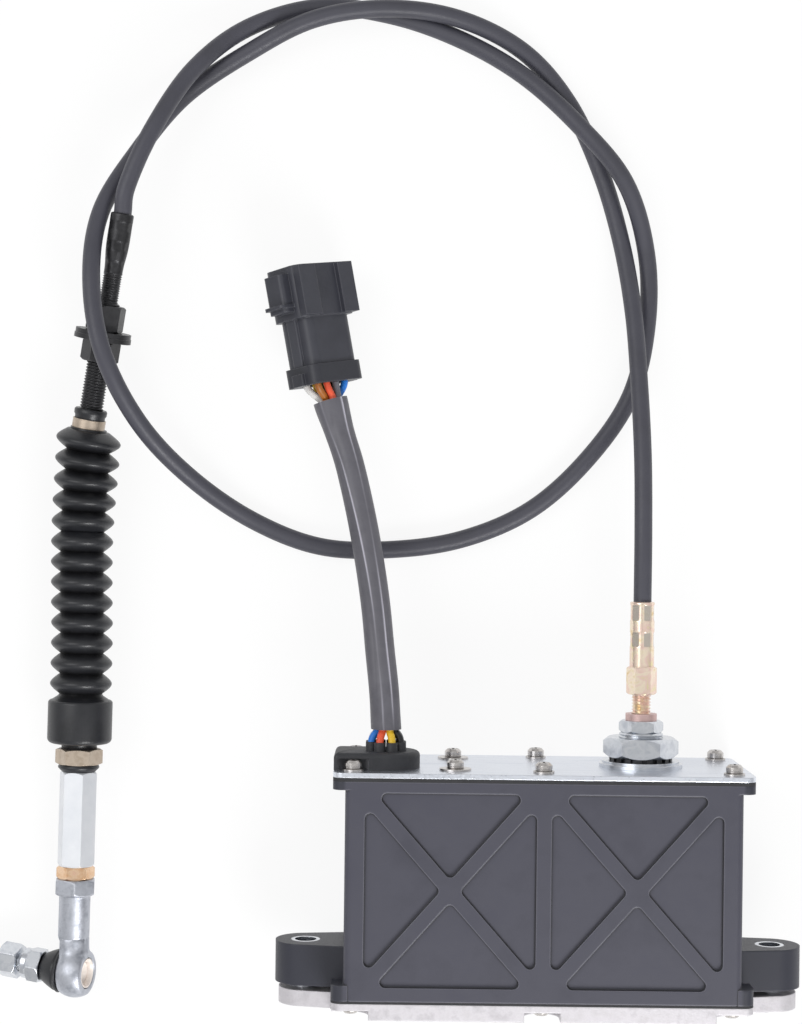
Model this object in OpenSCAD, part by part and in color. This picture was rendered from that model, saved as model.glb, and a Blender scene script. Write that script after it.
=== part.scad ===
// Engine governor actuator: a geared motor in a moulded box drives a rack,
// and the rack pushes and pulls the core of a sheathed cable to a ball-jointed rod end.
// It lies on the back of its box: +X to the right, +Y towards the cable gland, +Z up.
// The origin is the centre of the back face of the box.

/* [Housing] */
// Width of the moulded box
body_w = 160; // [140:1:180]
// Height of the moulded box, from base to lid
body_h = 88; // [84:1:96]
// Depth of the box, from back face to front face
body_d = 68; // [66:1:76]
// Wall of the box
wall = 3.5; // [2.5:0.25:4.5]
// Radius of the upright corners
corner_r = 3; // [2:0.5:6]
// Reach of the lid flange beyond the side walls
flange_out = 5; // [3:0.5:6]
// Thickness of the lid flange
flange_t = 3.4; // [2.5:0.1:5]
// Height of the corner lugs over the base
lug_h = 6.3; // [4:0.1:8]
// Depth of the corner lugs
lug_d = 13; // [10:0.5:16]
// Radius of the screw columns in the box
column_r = 5; // [4:0.25:6]

/* [Ribbed faces] */
// Width of a diagonal rib
rib_w = 5.8; // [4:0.2:12]
// Width of the upright rib between the two panels
mid_rib_w = 6; // [5:0.5:14]
// Margin beside the panels
side_margin = 8; // [6:0.5:14]
// Margin above and below the panels
end_margin = 5; // [4:0.2:10]
// Rise of the panels over mid-height
panel_lift = 0.6; // [-2:0.1:2]
// Depth of the triangular pockets
pocket_depth = 1.4; // [0.6:0.1:2]
// Corner radius of the triangular pockets
pocket_r = 2.25; // [1:0.25:3]

/* [Ears] */
// Reach of the mounting holes beyond the side walls
ear_reach = 16.5; // [14:0.5:30]
// Radius of an ear's tip
ear_tip_r = 12.5; // [11:0.25:15]
// Width of an ear at the wall
ear_root_w = 31; // [28:0.5:40]
// Thickness of a moulded ear
ear_t = 16.8; // [12:0.2:20]
// Gap between a moulded ear and the base's ear
ear_gap = 2.3; // [1.5:0.1:4]
// Outside radius of a bush
bush_r = 6; // [5.5:0.1:7.5]
// Bore radius of a bush
bush_bore_r = 4.5; // [3.5:0.1:5]

/* [Lid and base] */
// Thickness of the lid gasket
gasket_t = 1.5; // [1:0.1:3]
// Thickness of the lid plate
lid_t = 2; // [1.5:0.1:4]
// Corner radius of the lid plate
lid_corner_r = 4; // [2:0.5:6]
// Thickness of the base gasket
base_gasket_t = 1; // [0.5:0.1:2]
// Thickness of the cast base
base_t = 6.5; // [5.5:0.1:9]
// Tip radius of the cast base's ears
base_ear_r = 11; // [9:0.25:12]
// Width of a screw notch in the base
notch_w = 14.5; // [11:0.5:18]
// Height of a screw notch in the base
notch_h = 3.8; // [3.2:0.1:4.2]

/* [Box screws] */
// Distance of the outer screws from the side walls' outer faces
screw_side = 3; // [2.5:0.25:8]
// Distance of the screw rows from the front and back faces
screw_edge = 8; // [7:0.25:10]
// Radius of a screw's shank
screw_r = 2; // [1.5:0.1:2.2]
// Radius of a screw's head
screw_head_r = 3.5; // [3:0.1:4.2]
// Height of a screw's head
screw_head_h = 2.7; // [2:0.1:2.9]
// Length of a screw under its head
screw_l = 14; // [10:0.5:20]
// Radius of a flat washer
washer_r = 4.3; // [4:0.1:5]
// Thickness of a flat washer
washer_t = 0.8; // [0.5:0.1:1.2]
// Radius of a spring washer
spring_washer_r = 3.4; // [3.1:0.1:4]
// Thickness of a spring washer
spring_washer_t = 1; // [0.6:0.1:1.4]
// Share of the box's width between the middle and the bracket screws
bracket_share = 0.2225; // [0.2:0.0025:0.26]
// Distance of the bracket screws from the bracket's edges
bracket_edge = 8; // [6:0.5:12]
// Radius of the wide washers under the bracket screws
wide_washer_r = 6.5; // [5:0.1:8]

/* [Cable gland] */
// Share of the box's width between the middle and the gland
gland_share = 0.2625; // [0.24:0.0025:0.28]
// Radius of the gland's threaded neck
gland_neck_r = 9.15; // [8:0.05:10]
// Radius of the gland's inner flange
gland_flange_r = 16.5; // [16:0.25:19]
// Thickness of the gland's inner flange
gland_flange_t = 4; // [3:0.25:5]
// Rise of the neck over the gland nut
neck_rise = 2; // [1:0.25:4]
// Radius of the wide gland washer
gland_washer_r = 17.25; // [14:0.25:20]
// Thickness of the wide gland washer
gland_washer_t = 1.6; // [1:0.1:3]
// Radius of the washer on the wide one
upper_washer_r = 16; // [14:0.25:20]
// Thickness of the washer on the wide one
upper_washer_t = 1.1; // [0.8:0.1:3]
// Radius of the toothed washer
tooth_washer_r = 13; // [12:0.25:15]
// Thickness of the toothed washer
tooth_washer_t = 1.4; // [0.8:0.1:2]
// Number of teeth on the toothed washer
tooth_count = 18; // [12:1:24]
// Width across the flats of the gland nut
gland_nut_af = 27; // [24:0.5:32]
// Height of the gland nut
gland_nut_h = 8.2; // [6:0.1:12]

/* [Cable fitting at the box] */
// Radius of the fitting's thread
fit_thread_r = 4; // [3:0.1:5]
// Length of the thread inside the gland
fit_seat = 8.7; // [6:0.1:10]
// Width across the flats of the lock nut
lock_nut_af = 16; // [13:0.5:19]
// Height of the lock nut
lock_nut_h = 5; // [4:0.1:8]
// Radius of the seal ring
seal_r = 6.5; // [5.5:0.1:8]
// Height of the seal ring
seal_h = 2.8; // [1:0.1:4]
// Length of thread left bare over the seal ring
bare_thread = 8; // [4:0.5:14]
// Width across the flats of the fitting's hexagon
fit_hex_af = 11; // [9:0.25:14]
// Height of the fitting's hexagon
fit_hex_h = 11.5; // [8:0.5:16]
// Radius of the crimp tube
crimp_r = 5.1; // [4.5:0.1:6]
// Length of the crimp tube
crimp_l = 27; // [20:0.5:36]
// Width across the flats of the crimped bands
crimp_af = 8.8; // [8.4:0.1:9.6]

/* [Cable] */
// Radius of the cable sheath
sheath_r = 3.75; // [3:0.05:4]
// Radius of the rigid core rod
core_r = 2; // [1.5:0.1:2.4]
// Stroke of the cable either way from the middle
half_stroke = 15; // [8:0.5:15]

/* [Wire grommet] */
// Share of the box's width between the middle and the grommet
grommet_share = 0.4; // [0.38:0.005:0.41]
// Rise of the grommet over the middle of the depth
grommet_rise = 12; // [10:0.5:14]
// Radius of the grommet's round end
grommet_r = 14; // [12:0.25:15]
// Rise of the grommet over the lid
grommet_h = 7; // [5:0.25:10]
// Rise of the wire collars over the grommet
nub_h = 3.6; // [2:0.1:6]
// Radius of a wire collar
nub_r = 2.35; // [2:0.05:2.45]
// Radius of the ring of wire collars
nub_ring_r = 6.4; // [6.2:0.1:7]
// Radius of the grommet's neck in the lid
grommet_neck_r = 9; // [8.5:0.1:10]
// Radius of the lip under the lid
grommet_lip_r = 10.5; // [9.5:0.1:12]

/* [Harness] */
// Radius of a wire
wire_r = 1.5; // [1:0.05:1.6]
// Radius of the harness sleeve
sleeve_r = 6.25; // [6:0.05:7]
// Radius of the ring of wires where they meet the sleeve
bundle_r = 4; // [3.95:0.05:4.5]

/* [Connector] */
// Length of the rear cover
cover_l = 8; // [6:0.5:12]
// Width of the rear cover
cover_w = 28; // [25:0.5:32]
// Thickness of the rear cover
cover_t = 20.5; // [18:0.5:24]
// Length of the connector body between cover and shroud
waist_l = 20; // [14:0.5:28]
// Width of the connector body
waist_w = 25; // [22:0.5:25]
// Thickness of the connector body
waist_t = 18.5; // [15:0.5:19]
// Length of the shroud
shroud_l = 22; // [20:0.5:32]
// Width of the shroud
shroud_w = 30; // [27:0.5:34]
// Thickness of the shroud
shroud_t = 21; // [19:0.5:24]
// Wall of the shroud
shroud_wall = 2; // [1.5:0.1:3]
// Depth of the shroud's socket
socket_d = 17; // [14:0.5:22]
// Width of a side rail of the shroud
rail_w = 6; // [4:0.5:8]
// Thickness of a side rail of the shroud
rail_t = 11; // [8:0.5:14]
// Width of the spine on the shroud
spine_w = 9; // [6:0.5:10]
// Width of the block beside the spine
block_w = 8; // [5:0.5:9]
// Rise of the spine over the shroud
spine_rise = 2; // [1:0.25:3]
// Length of the fin across the shroud
fin_w = 44; // [42:0.5:48]
// Height of the fin across the shroud
fin_h = 12; // [10:0.5:14]
// Thickness of the fin across the shroud
fin_t = 1.4; // [1:0.1:2.5]
// Spacing of the terminals along a row
pin_pitch = 5; // [4:0.25:5.5]
// Distance between the rows of terminals
pin_rows = 7; // [5:0.25:8]
// Width of a terminal
pin_w = 2.2; // [1.2:0.1:2.8]
// Thickness of a terminal
pin_t = 0.8; // [0.5:0.1:1.2]
// Reach of the terminals into the socket
pin_reach = 8; // [5:0.5:11]
// Roll of the connector about its own axis
conn_roll = 43; // [0:1:45]
// Turn of the connector away from +Y
conn_turn = 10.6; // [0:0.1:20]

/* [Far end hub] */
// Turn of the hub away from +Y
hub_turn = 9.5; // [4:0.1:12]
// Rise of the hub towards the cable
hub_rise = 7; // [3:0.1:8]
// Radius of the hub's large thread
hub_r = 5; // [4.9:0.05:5.5]
// Length of the hub's large thread
hub_thread_l = 52; // [48:0.5:70]
// Radius of the hub's small thread
hub_neck_r = 4; // [3.5:0.1:4.5]
// Length of the hub's small thread
hub_neck_l = 13; // [8:0.5:20]
// Largest radius of the hub's crimp
hub_crimp_r = 4.85; // [4.2:0.05:5.5]
// Length of the hub's crimp
hub_crimp_l = 25; // [18:0.5:32]
// Place of the bulkhead washers along the hub
bulkhead_at = 36; // [30:0.5:38]
// Radius of a bulkhead washer
bulkhead_washer_r = 12; // [9:0.25:12]
// Thickness of a bulkhead washer
bulkhead_washer_t = 2; // [1.5:0.1:3]
// Width across the flats of the bulkhead nuts
bulkhead_nut_af = 14; // [13:0.5:17]
// Height of the upper bulkhead nut
upper_nut_h = 11; // [6:0.5:11]
// Height of the lower bulkhead nut
lower_nut_h = 9.2; // [6:0.1:12]
// Radius of the swivel ball
swivel_ball_r = 4.1; // [3.9:0.05:4.2]
// Radius of the support tube
tube_r = 3.1; // [2.8:0.05:3.3]
// Length of the support tube below the swivel
tube_l = 60; // [50:1:70]

/* [Bellows] */
// Number of folds
fold_count = 13; // [8:1:16]
// Radius of the ridges
ridge_r = 13.6; // [12:0.1:14]
// Radius of the valleys
valley_r = 9; // [8:0.1:10]
// Wall of the bellows
boot_wall = 1.5; // [1:0.1:2]
// Length of the folded part
folds_l = 110; // [90:1:120]
// Length of the cup collar under the folds
cup_l = 18.4; // [12:0.2:24]
// Length of the taper over the cup collar
cup_taper = 2.6; // [1.5:0.1:5]
// Radius of the lower neck
boot_neck_r = 7.5; // [7:0.1:8.5]
// Radius of the upper neck
boot_top_r = 6.4; // [6.3:0.05:7]
// Height of a clamp ring
clamp_h = 4.3; // [3:0.1:6]
// Width across the flats of the lower clamp
lower_clamp_af = 17.3; // [16:0.1:20]
// Height of the lower clamp
lower_clamp_h = 6.5; // [4:0.1:9]
// Height of the lip under the lower clamp
boot_lip_h = 2.9; // [2:0.1:5]

/* [Rod and rod end] */
// Turn of the rod away from +Y
rod_turn = 1; // [0:0.1:3]
// Radius of the sliding rod
rod_r = 2.1; // [1.8:0.05:2.3]
// Radius of the rod's shoulder in the boot
rod_shoulder_r = 5; // [4.5:0.1:5.5]
// Radius of the rod's and rod end's threads
rod_thread_r = 4; // [3:0.1:4.5]
// Width across the flats of the long coupling
coupling_af = 14; // [12:0.5:17]
// Length of the long coupling
coupling_l = 40; // [30:1:50]
// Width across the flats of the jam nut
jam_nut_af = 14; // [12:0.5:17]
// Height of the jam nut
jam_nut_h = 5.4; // [4:0.1:8]
// Width across the flats of the rod end's collar
collar_af = 16; // [14:0.5:19]
// Height of the rod end's collar
collar_h = 6.8; // [5:0.1:10]
// Radius of the rod end's shank
shank_r = 6.6; // [5.5:0.1:8]
// Distance from the collar to the eye
eye_drop = 33; // [28:0.5:42]
// Radius of the eye
eye_r = 12; // [11.5:0.1:13]
// Thickness of the eye
eye_t = 11.5; // [10.5:0.25:14]
// Radius of the race in the eye
race_r = 8.2; // [7.8:0.1:9]
// Length of the race
race_l = 8; // [7:0.1:8.5]
// Radius of the ball
ball_r = 6.5; // [6.3:0.05:6.8]
// Dip of the ball stud towards the ground
stud_dip = 16; // [0:0.5:17]
// Turn of the ball stud towards the hub
stud_turn = 5.5; // [0:0.5:12]
// Radius of the stud's neck
stud_neck_r = 3.6; // [3:0.1:3.7]
// Distance from the eye's face to the stud's hexagon
stud_boot_l = 7.7; // [6:0.1:10]
// Width across the flats of the stud's hexagon
stud_hex_af = 13; // [11:0.5:15]
// Height of the stud's hexagon
stud_hex_h = 6.3; // [4:0.1:8]
// Radius of the stud's thread
stud_thread_r = 4; // [3:0.1:4.5]
// Gap between the stud's hexagon and its nut
lever_gap = 4.5; // [3:0.1:8]
// Height of the stud's nut
stud_nut_h = 8.5; // [5:0.1:9]
// Thread left over the stud's nut
stud_tip_l = 5; // [2:0.1:6]

/* [Drive in the box] */
// Gear module of pinion and rack
gear_module = 1.5; // [1.25:0.05:1.6]
// Number of teeth on the pinion
pinion_teeth = 18; // [16:1:18]
// Face width of the pinion
pinion_w = 12; // [8:0.5:13]
// Half length of the rack block
rack_half_l = 23; // [20:0.5:23]
// Distance from the cable's axis to the rack's tooth roots
rack_back = 6; // [5:0.25:7]
// Radius of the guide rods
guide_r = 2.5; // [2:0.1:3]
// Radius of the motor can
motor_r = 14; // [11:0.5:14]
// Length of the motor can as a share of the box's width
motor_share = 0.35625; // [0.25:0.00125:0.375]
// Radius of the gearbox case
case_r = 23; // [21:0.5:24]
// Thickness of the motor bracket
bracket_t = 2.5; // [2:0.1:3]
// Radius of the output shaft
shaft_r = 4; // [3.5:0.1:5]
// Radius of the position sensor
sensor_r = 11; // [9:0.5:14]

/* [Hidden] */
$fn = 48;
// Running clearance of shafts, threads and pins
fit_gap = 0.05;
// Clearance between parts that only pass each other
pass_gap = 0.5;
// Overshoot of a cut
cut = 1;

body_top = body_h / 2;
body_bottom = -body_h / 2;
mid_z = body_d / 2;
flange_w = body_w + 2 * flange_out;
lid_under = body_top + gasket_t;
lid_top = lid_under + lid_t;
base_top = body_bottom - base_gasket_t;
base_under = base_top - base_t;
ear_under = base_top + ear_gap;
ear_x = body_w / 2 + ear_reach;
screw_x = body_w / 2 - screw_side;
rows = [screw_edge, body_d - screw_edge];
columns = [-screw_x, 0, screw_x];
bracket_gap = 2.5;
bracket_half = mid_z - wall - bracket_gap;
bracket_screw_x = -bracket_share * body_w;
bracket_rows = [mid_z - bracket_half + bracket_edge, mid_z + bracket_half - bracket_edge];
grommet_x = -grommet_share * body_w;
grommet_z = mid_z + grommet_rise;
column_core_r = screw_r + fit_gap;
column_l = screw_l + 3.5;
screw_clear_r = screw_r + 0.25;
screw_stack = washer_t + spring_washer_t;
recess_h = screw_stack + screw_head_h + 0.3;

gland_x = gland_share * body_w;
gland_z = mid_z;
tooth_at = lid_top + gland_washer_t + upper_washer_t;
gland_nut_at = tooth_at + tooth_washer_t;
neck_top = gland_nut_at + gland_nut_h + neck_rise;
lock_nut_at = neck_top;
seal_at = lock_nut_at + lock_nut_h;
fit_hex_at = seal_at + seal_h + bare_thread;
crimp_at = fit_hex_at + fit_hex_h;
fitting_end = crimp_at + crimp_l;
core_bore_r = core_r + fit_gap;

pitch_r = gear_module * pinion_teeth / 2;
tooth_play = 0.25;
addendum = gear_module;
dedendum = 1.25 * gear_module;
rack_root_x = gland_x - rack_back;
rack_pitch_x = rack_root_x - dedendum;
shaft_x = rack_pitch_x - pitch_r;
motor_l = motor_share * body_w;
case_gap = 5;
case_z = wall + case_gap;
web_drop = 4;
web_top = mid_z - web_drop;
case_top = web_top - bracket_t;
case_t = case_top - case_z;
pinion_gap = 2;
pinion_z = web_top + pinion_gap;
motor_y = -17;
motor_z = wall + pass_gap + motor_r;
motor_end_x = shaft_x - case_r - 6.6;
guide_x = gland_x + 10.5;
guide_zs = [gland_z - 5, gland_z + 7];
guide_seat = 3;
rack_z = web_top + pass_gap;
rack_top_z = gland_z + 12;
core_head_r = 3.5;
core_head_l = 3;
core_reach = fitting_end - half_stroke - 8;
sensor_plate_z = pinion_z + pinion_w + 3;
sensor_plate_t = 2;
post_ring_r = 20;
post_r = 3;

// Swivel point at the hub, and the hub's and rod's directions
swivel = [-192, 188, 16.5];
hub_end = hub_thread_l + hub_neck_l + hub_crimp_l;
hub_axis = [sin(hub_turn) * cos(hub_rise), cos(hub_turn) * cos(hub_rise), sin(hub_rise)];
hub_mouth = -2.5;
cable_far = swivel + hub_end * hub_axis;
bellows_top = -4.5;
bellows_low = bellows_top - folds_l;
cup_low = bellows_low - cup_taper - cup_l;
lower_clamp_at = cup_low - 2.4 - lower_clamp_h;
coupling_top = lower_clamp_at - boot_lip_h - 0.3;
coupling_low = coupling_top - coupling_l;
jam_low = coupling_low - jam_nut_h;
collar_low = jam_low - collar_h;
eye_at = collar_low - eye_drop;
thread_seat = 15.5;
rod_top = -half_stroke - 5;

stud_hex_at = eye_t / 2 + stud_boot_l;
stud_nut_at = stud_hex_at + stud_hex_h + lever_gap;
stud_end = stud_nut_at + stud_nut_h + stud_tip_l;
stud_washer_t = 2.2;

// Route of the cable from the box to the hub, by its crossings
cable_points = [
    [gland_x, fitting_end, gland_z], [gland_x, 146, gland_z], [42, 177, 29], [41, 208, 21],
    [39, 239, 13], [34, 270, 6], [25, 300, 4], [11, 329, 4],
    [-9, 351, 5], [-37, 364, 8], [-68, 367, 12], [-99, 362, 12],
    [-127, 348, 9], [-154, 329, 9], [-173, 304, 15], [-187, 277, 24],
    [-189, 247, 35], [-183, 216, 39], [-169, 188, 29], [-149, 166, 15],
    [-123, 148, 6], [-94, 137, 4], [-63, 136, 4], [-32, 141, 4],
    [-3, 154, 4], [21, 176, 4], [39, 203, 4], [46, 234, 4],
    [45, 265, 6], [35, 294, 12], [15, 318, 12], [-9, 340, 8],
    [-36, 356, 4], [-66, 366, 4], [-97, 369, 4], [-127, 359, 8],
    [-149, 339, 18], [-165, 312, 27], cable_far + 12 * hub_axis, cable_far
];
// Route of the harness from the grommet to the connector
sleeve_start = lid_top + grommet_h + nub_h + 5;
harness_points = [
    [grommet_x, sleeve_start, grommet_z], [-65, 78, grommet_z], [-67, 95, 42],
    [-69, 113, 36], [-72, 132, 30], [-76, 152, 25], [-81, 172, 22],
    [-86, 187, 20], [-89.5, 199, 19.5]
];
conn_at = [-91.5, 206, 19.5];
// Each wire's colour, with its place on the grommet and on the connector
wire_table = [
    ["royalblue", 3, 7], ["darkorange", 2, 2], ["seagreen", 1, 6], ["gold", 0, 5],
    ["ivory", 4, 4], ["saddlebrown", 5, 3], ["slategray", 6, 1], ["dimgray", 7, 0]
];
slot_turn = 22.5;
slot_step = 45;

// Small vector helpers
function unit(v) = v / norm(v);
function left_of(v) = [-v[1], v[0]];
function corner_shift(a, b, c) = let (n = left_of(unit(b - a)), m = left_of(unit(c - b))) (n + m) / (1 + n * m);
function inset(p, r) = [for (i = [0:len(p) - 1])
    p[i] + r * corner_shift(p[(i + len(p) - 1) % len(p)], p[i], p[(i + 1) % len(p)])];
// Point where the line from p touches the circle of radius r about c, on the side given by s
function tangent_point(p, c, r, s) = let (d = norm(p - c), a = atan2(p[1] - c[1], p[0] - c[0]), b = acos(r / d))
    c + r * [cos(a + s * b), sin(a + s * b)];

// Polygon with true arcs at its corners
module rounded(p, r) {
    q = inset(p, r);
    union() {
        polygon(q);
        for (i = [0:len(q) - 1]) {
            a = q[i];
            b = q[(i + 1) % len(q)];
            out = -r * left_of(unit(b - a));
            polygon([a, a + out, b + out, b]);
            translate(a) circle(r);
        }
    }
}
// Outline of a polygon whose corners are eased by short chords
function eased(p, r, n = 5) = let (q = inset(p, r), e = len(p)) [for (i = [0:e - 1])
    let (u = p[i] - p[(i + e - 1) % e], v = p[(i + 1) % e] - p[i], a = atan2(-u[0], u[1]),
        turn = (atan2(-v[0], v[1]) - a + 720) % 360)
    for (k = [0:n]) q[i] + r * [cos(a + turn * k / n), sin(a + turn * k / n)]];
function box_points(w, h) = [[-w / 2, -h / 2], [w / 2, -h / 2], [w / 2, h / 2], [-w / 2, h / 2]];
module rounded_box(w, h, r) { rounded(box_points(w, h), r); }

// Extrude a plan drawn in X and Z upwards along +Y, from y over a height h
module rise(y, h) { translate([0, y + h, 0]) rotate([90, 0, 0]) linear_extrude(h) children(); }
// Turn a profile of radius and height about the Y axis
module turned() { rotate([-90, 0, 0]) rotate_extrude() children(); }
module rod_y(y, h, r) { translate([0, y, 0]) rotate([-90, 0, 0]) cylinder(h = h, r = r); }
module ring_y(y, h, r, bore) {
    difference() {
        rod_y(y, h, r);
        rod_y(y - cut, h + 2 * cut, bore);
    }
}
// Hexagon nut or bar along +Y with its corners turned off by the chamfer
module hex_y(y, h, af, turn = 0, chamfer = 0.12) {
    corner = af / sqrt(3);
    drop = chamfer * af;
    reach = af / 2 + 2 * (corner - af / 2);
    intersection() {
        translate([0, y, 0]) rotate([-90, turn, 0]) cylinder(h = h, r = corner, $fn = 6);
        turned() polygon([[0, y], [af / 2, y], [reach, y + drop], [reach, y + h - drop], [af / 2, y + h], [0, y + h]]);
    }
}
// Pan head at height 0 with a cross recess, and its shank below
module pan_screw(shank) {
    difference() {
        rotate_extrude() polygon([[0, -shank], [screw_r, -shank], [screw_r, 0], [screw_head_r, 0],
            [screw_head_r, 0.5 * screw_head_h], [0.72 * screw_head_r, 0.9 * screw_head_h], [0, screw_head_h]]);
        for (turn = [0, 90]) rotate([0, 0, turn])
            translate([0, 0, screw_head_h]) cube([1.1 * screw_head_r, 0.26 * screw_head_r, screw_head_h], center = true);
    }
}
// Stand a screw or washer on the lid, pointing into the box
module on_lid(x, z, y = 0) { translate([x, lid_top + y, z]) rotate([-90, 0, 0]) children(); }

// Smooth route through points, and a tube swept along it
function blend(a, b, c, d, t) = 0.5 * (2 * b + (c - a) * t + (2 * a - 5 * b + 4 * c - d) * t * t
    + (3 * b - a - 3 * c + d) * t * t * t);
function route(p, n) = let (e = len(p) - 1) concat([for (i = [0:e - 1], k = [0:n - 1])
    blend(i == 0 ? 2 * p[0] - p[1] : p[i - 1], p[i], p[i + 1], i == e - 1 ? 2 * p[e] - p[e - 1] : p[i + 2], k / n)],
    [p[e]]);
function heading(q, i) = unit(q[min(i + 1, len(q) - 1)] - q[max(i - 1, 0)]);
function side_of(t) = unit(cross(t, [0, 0, 1]));
function ring(c, t, r, sides) = let (s = side_of(t), u = cross(s, t))
    [for (k = [0:sides - 1]) c + r * (cos(360 * k / sides) * s + sin(360 * k / sides) * u)];
module swept(q, r, sides, first, last) {
    e = len(q) - 1;
    points = [for (i = [0:e]) each ring(q[i], i == 0 ? first : i == e ? last : heading(q, i), r, sides)];
    walls = [for (i = [0:e - 1], k = [0:sides - 1]) let (a = i * sides + k, b = i * sides + (k + 1) % sides)
        each [[a, b, b + sides], [a, b + sides, a + sides]]];
    polyhedron(points, concat(walls, [[for (k = [sides - 1:-1:0]) k]], [[for (k = [0:sides - 1]) e * sides + k]]),
        convexity = 10);
}

// Moulded box
module ear_plan(side, tip_r) {
    root = [side * (body_w / 2 - wall), ear_root_w / 2];
    tip = [side * ear_x, 0];
    touch = tangent_point(root, tip, 0.998 * tip_r, -side);
    translate([0, mid_z]) {
        polygon([root, touch, tip, [touch[0], -touch[1]], [root[0], -root[1]]]);
        translate(tip) circle(tip_r);
    }
}
panel_w = (body_w - 2 * side_margin - mid_rib_w) / 2;
panel_h = body_h - 2 * end_margin;
panel_x = (mid_rib_w + panel_w) / 2;
rib_slope = atan2(panel_h, panel_w);
module pocket_plan() {
    half_w = panel_w / 2;
    half_h = panel_h / 2;
    apex_y = rib_w / 2 / cos(rib_slope);
    apex_x = rib_w / 2 / sin(rib_slope);
    base_half = (half_h - apex_y) / tan(rib_slope);
    side_half = (half_w - apex_x) * tan(rib_slope);
    for (s = [-1, 1]) {
        polygon(eased(s > 0 ? [[0, apex_y], [base_half, half_h], [-base_half, half_h]]
            : [[0, -apex_y], [-base_half, -half_h], [base_half, -half_h]], pocket_r));
        polygon(eased(s > 0 ? [[apex_x, 0], [half_w, -side_half], [half_w, side_half]]
            : [[-apex_x, 0], [-half_w, side_half], [-half_w, -side_half]], pocket_r));
    }
}
module box_plan(w) { translate([0, mid_z]) rounded_box(w, body_d, corner_r); }
module cavity_plan() { translate([0, mid_z]) square([body_w - 2 * wall, body_d - 2 * wall], center = true); }
module column_plan(r) { for (x = columns, z = rows) translate([x, z]) circle(r); }
module housing() {
    color([0.16, 0.18, 0.21]) difference() {
        union() {
            rise(body_bottom, body_h) difference() {
                box_plan(body_w);
                cavity_plan();
            }
            for (y = [body_bottom, body_top - column_l]) rise(y, column_l) intersection() {
                translate([0, mid_z]) square([body_w - wall, body_d - wall], center = true);
                column_plan(column_r);
            }
            rise(body_top - flange_t, flange_t) difference() {
                translate([0, mid_z]) rounded_box(flange_w, body_d, lid_corner_r);
                cavity_plan();
            }
            rise(body_bottom, lug_h) difference() {
                translate([0, mid_z]) rounded_box(flange_w, body_d, lid_corner_r);
                translate([0, mid_z]) square([body_w - wall, body_d + cut], center = true);
                translate([0, mid_z]) square([flange_w + cut, body_d - 2 * lug_d], center = true);
            }
            for (side = [-1, 1]) rise(ear_under, ear_t) ear_plan(side, ear_tip_r);
        }
        for (side = [-1, 1]) translate([side * ear_x, 0, mid_z])
            rod_y(ear_under - cut, ear_t + 2 * cut, bush_r + fit_gap);
        for (x = columns, z = rows) {
            translate([x, 0, z]) rod_y(body_top - screw_l, screw_l + cut, column_core_r);
            translate([x, 0, z]) rod_y(body_bottom - cut, screw_l + cut, column_core_r);
        }
        for (x = [-panel_x, panel_x]) {
            translate([x, panel_lift, body_d - pocket_depth]) linear_extrude(pocket_depth + cut) pocket_plan();
            translate([x, panel_lift, -cut]) linear_extrude(pocket_depth + cut) pocket_plan();
        }
    }
}
module ear_bushes() {
    color([0.72, 0.74, 0.76]) for (side = [-1, 1]) translate([side * ear_x, 0, mid_z])
        ring_y(base_top, ear_under + ear_t - base_top, bush_r, bush_bore_r);
}

// Lid, base and gaskets
module gasket_plan() {
    difference() {
        translate([0, mid_z]) rounded_box(flange_w, body_d, lid_corner_r);
        difference() {
            cavity_plan();
            column_plan(column_r);
        }
        column_plan(screw_clear_r);
    }
}
module top_gasket() { color([0.08, 0.08, 0.09]) rise(body_top, gasket_t) gasket_plan(); }
module base_gasket() { color([0.08, 0.08, 0.09]) rise(base_top, base_gasket_t) gasket_plan(); }
module top_plate() {
    color([0.78, 0.82, 0.86]) rise(lid_under, lid_t) difference() {
        translate([0, mid_z]) rounded_box(flange_w, body_d, lid_corner_r);
        column_plan(screw_clear_r);
        for (z = bracket_rows) translate([bracket_screw_x, z]) circle(screw_clear_r);
        translate([gland_x, gland_z]) circle(gland_neck_r + fit_gap);
        translate([grommet_x, grommet_z]) circle(grommet_neck_r + fit_gap);
    }
}
module base_plate() {
    color([0.80, 0.80, 0.78]) difference() {
        union() {
            rise(base_under, base_t) translate([0, mid_z]) rounded_box(flange_w, body_d, lid_corner_r);
            for (side = [-1, 1]) rise(base_under, base_t) ear_plan(side, base_ear_r);
        }
        for (side = [-1, 1]) translate([side * ear_x, 0, mid_z])
            rod_y(base_under - cut, base_t + 2 * cut, bush_bore_r);
        for (x = columns, z = rows) {
            out = z > mid_z ? 1 : -1;
            translate([x, 0, z]) rod_y(base_under - cut, base_t + 2 * cut, screw_clear_r);
            rise(base_under - cut, notch_h + cut) translate([x, z]) union() {
                circle(notch_w / 2);
                translate([-notch_w / 2, out > 0 ? 0 : -notch_w]) square([notch_w, notch_w]);
                if (x != 0) translate([x > 0 ? 0 : -notch_w, out > 0 ? -notch_w / 2 : -notch_w])
                    square([notch_w, 1.5 * notch_w]);
            }
        }
        for (z = guide_zs) translate([guide_x, 0, z]) rod_y(base_top - guide_seat, guide_seat + cut, guide_r + fit_gap);
    }
}
module top_screws() {
    color([0.80, 0.81, 0.80]) for (x = columns, z = rows) on_lid(x, z, screw_stack) pan_screw(screw_l);
}
module bracket_screws() {
    color([0.80, 0.81, 0.80]) for (z = bracket_rows) on_lid(bracket_screw_x, z, screw_stack) pan_screw(screw_l);
}
module screw_washers() {
    color([0.70, 0.72, 0.72]) {
        for (x = columns, z = rows) on_lid(x, z) screw_stack_rings(washer_r);
        for (z = bracket_rows) on_lid(bracket_screw_x, z) screw_stack_rings(wide_washer_r);
    }
}
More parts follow.
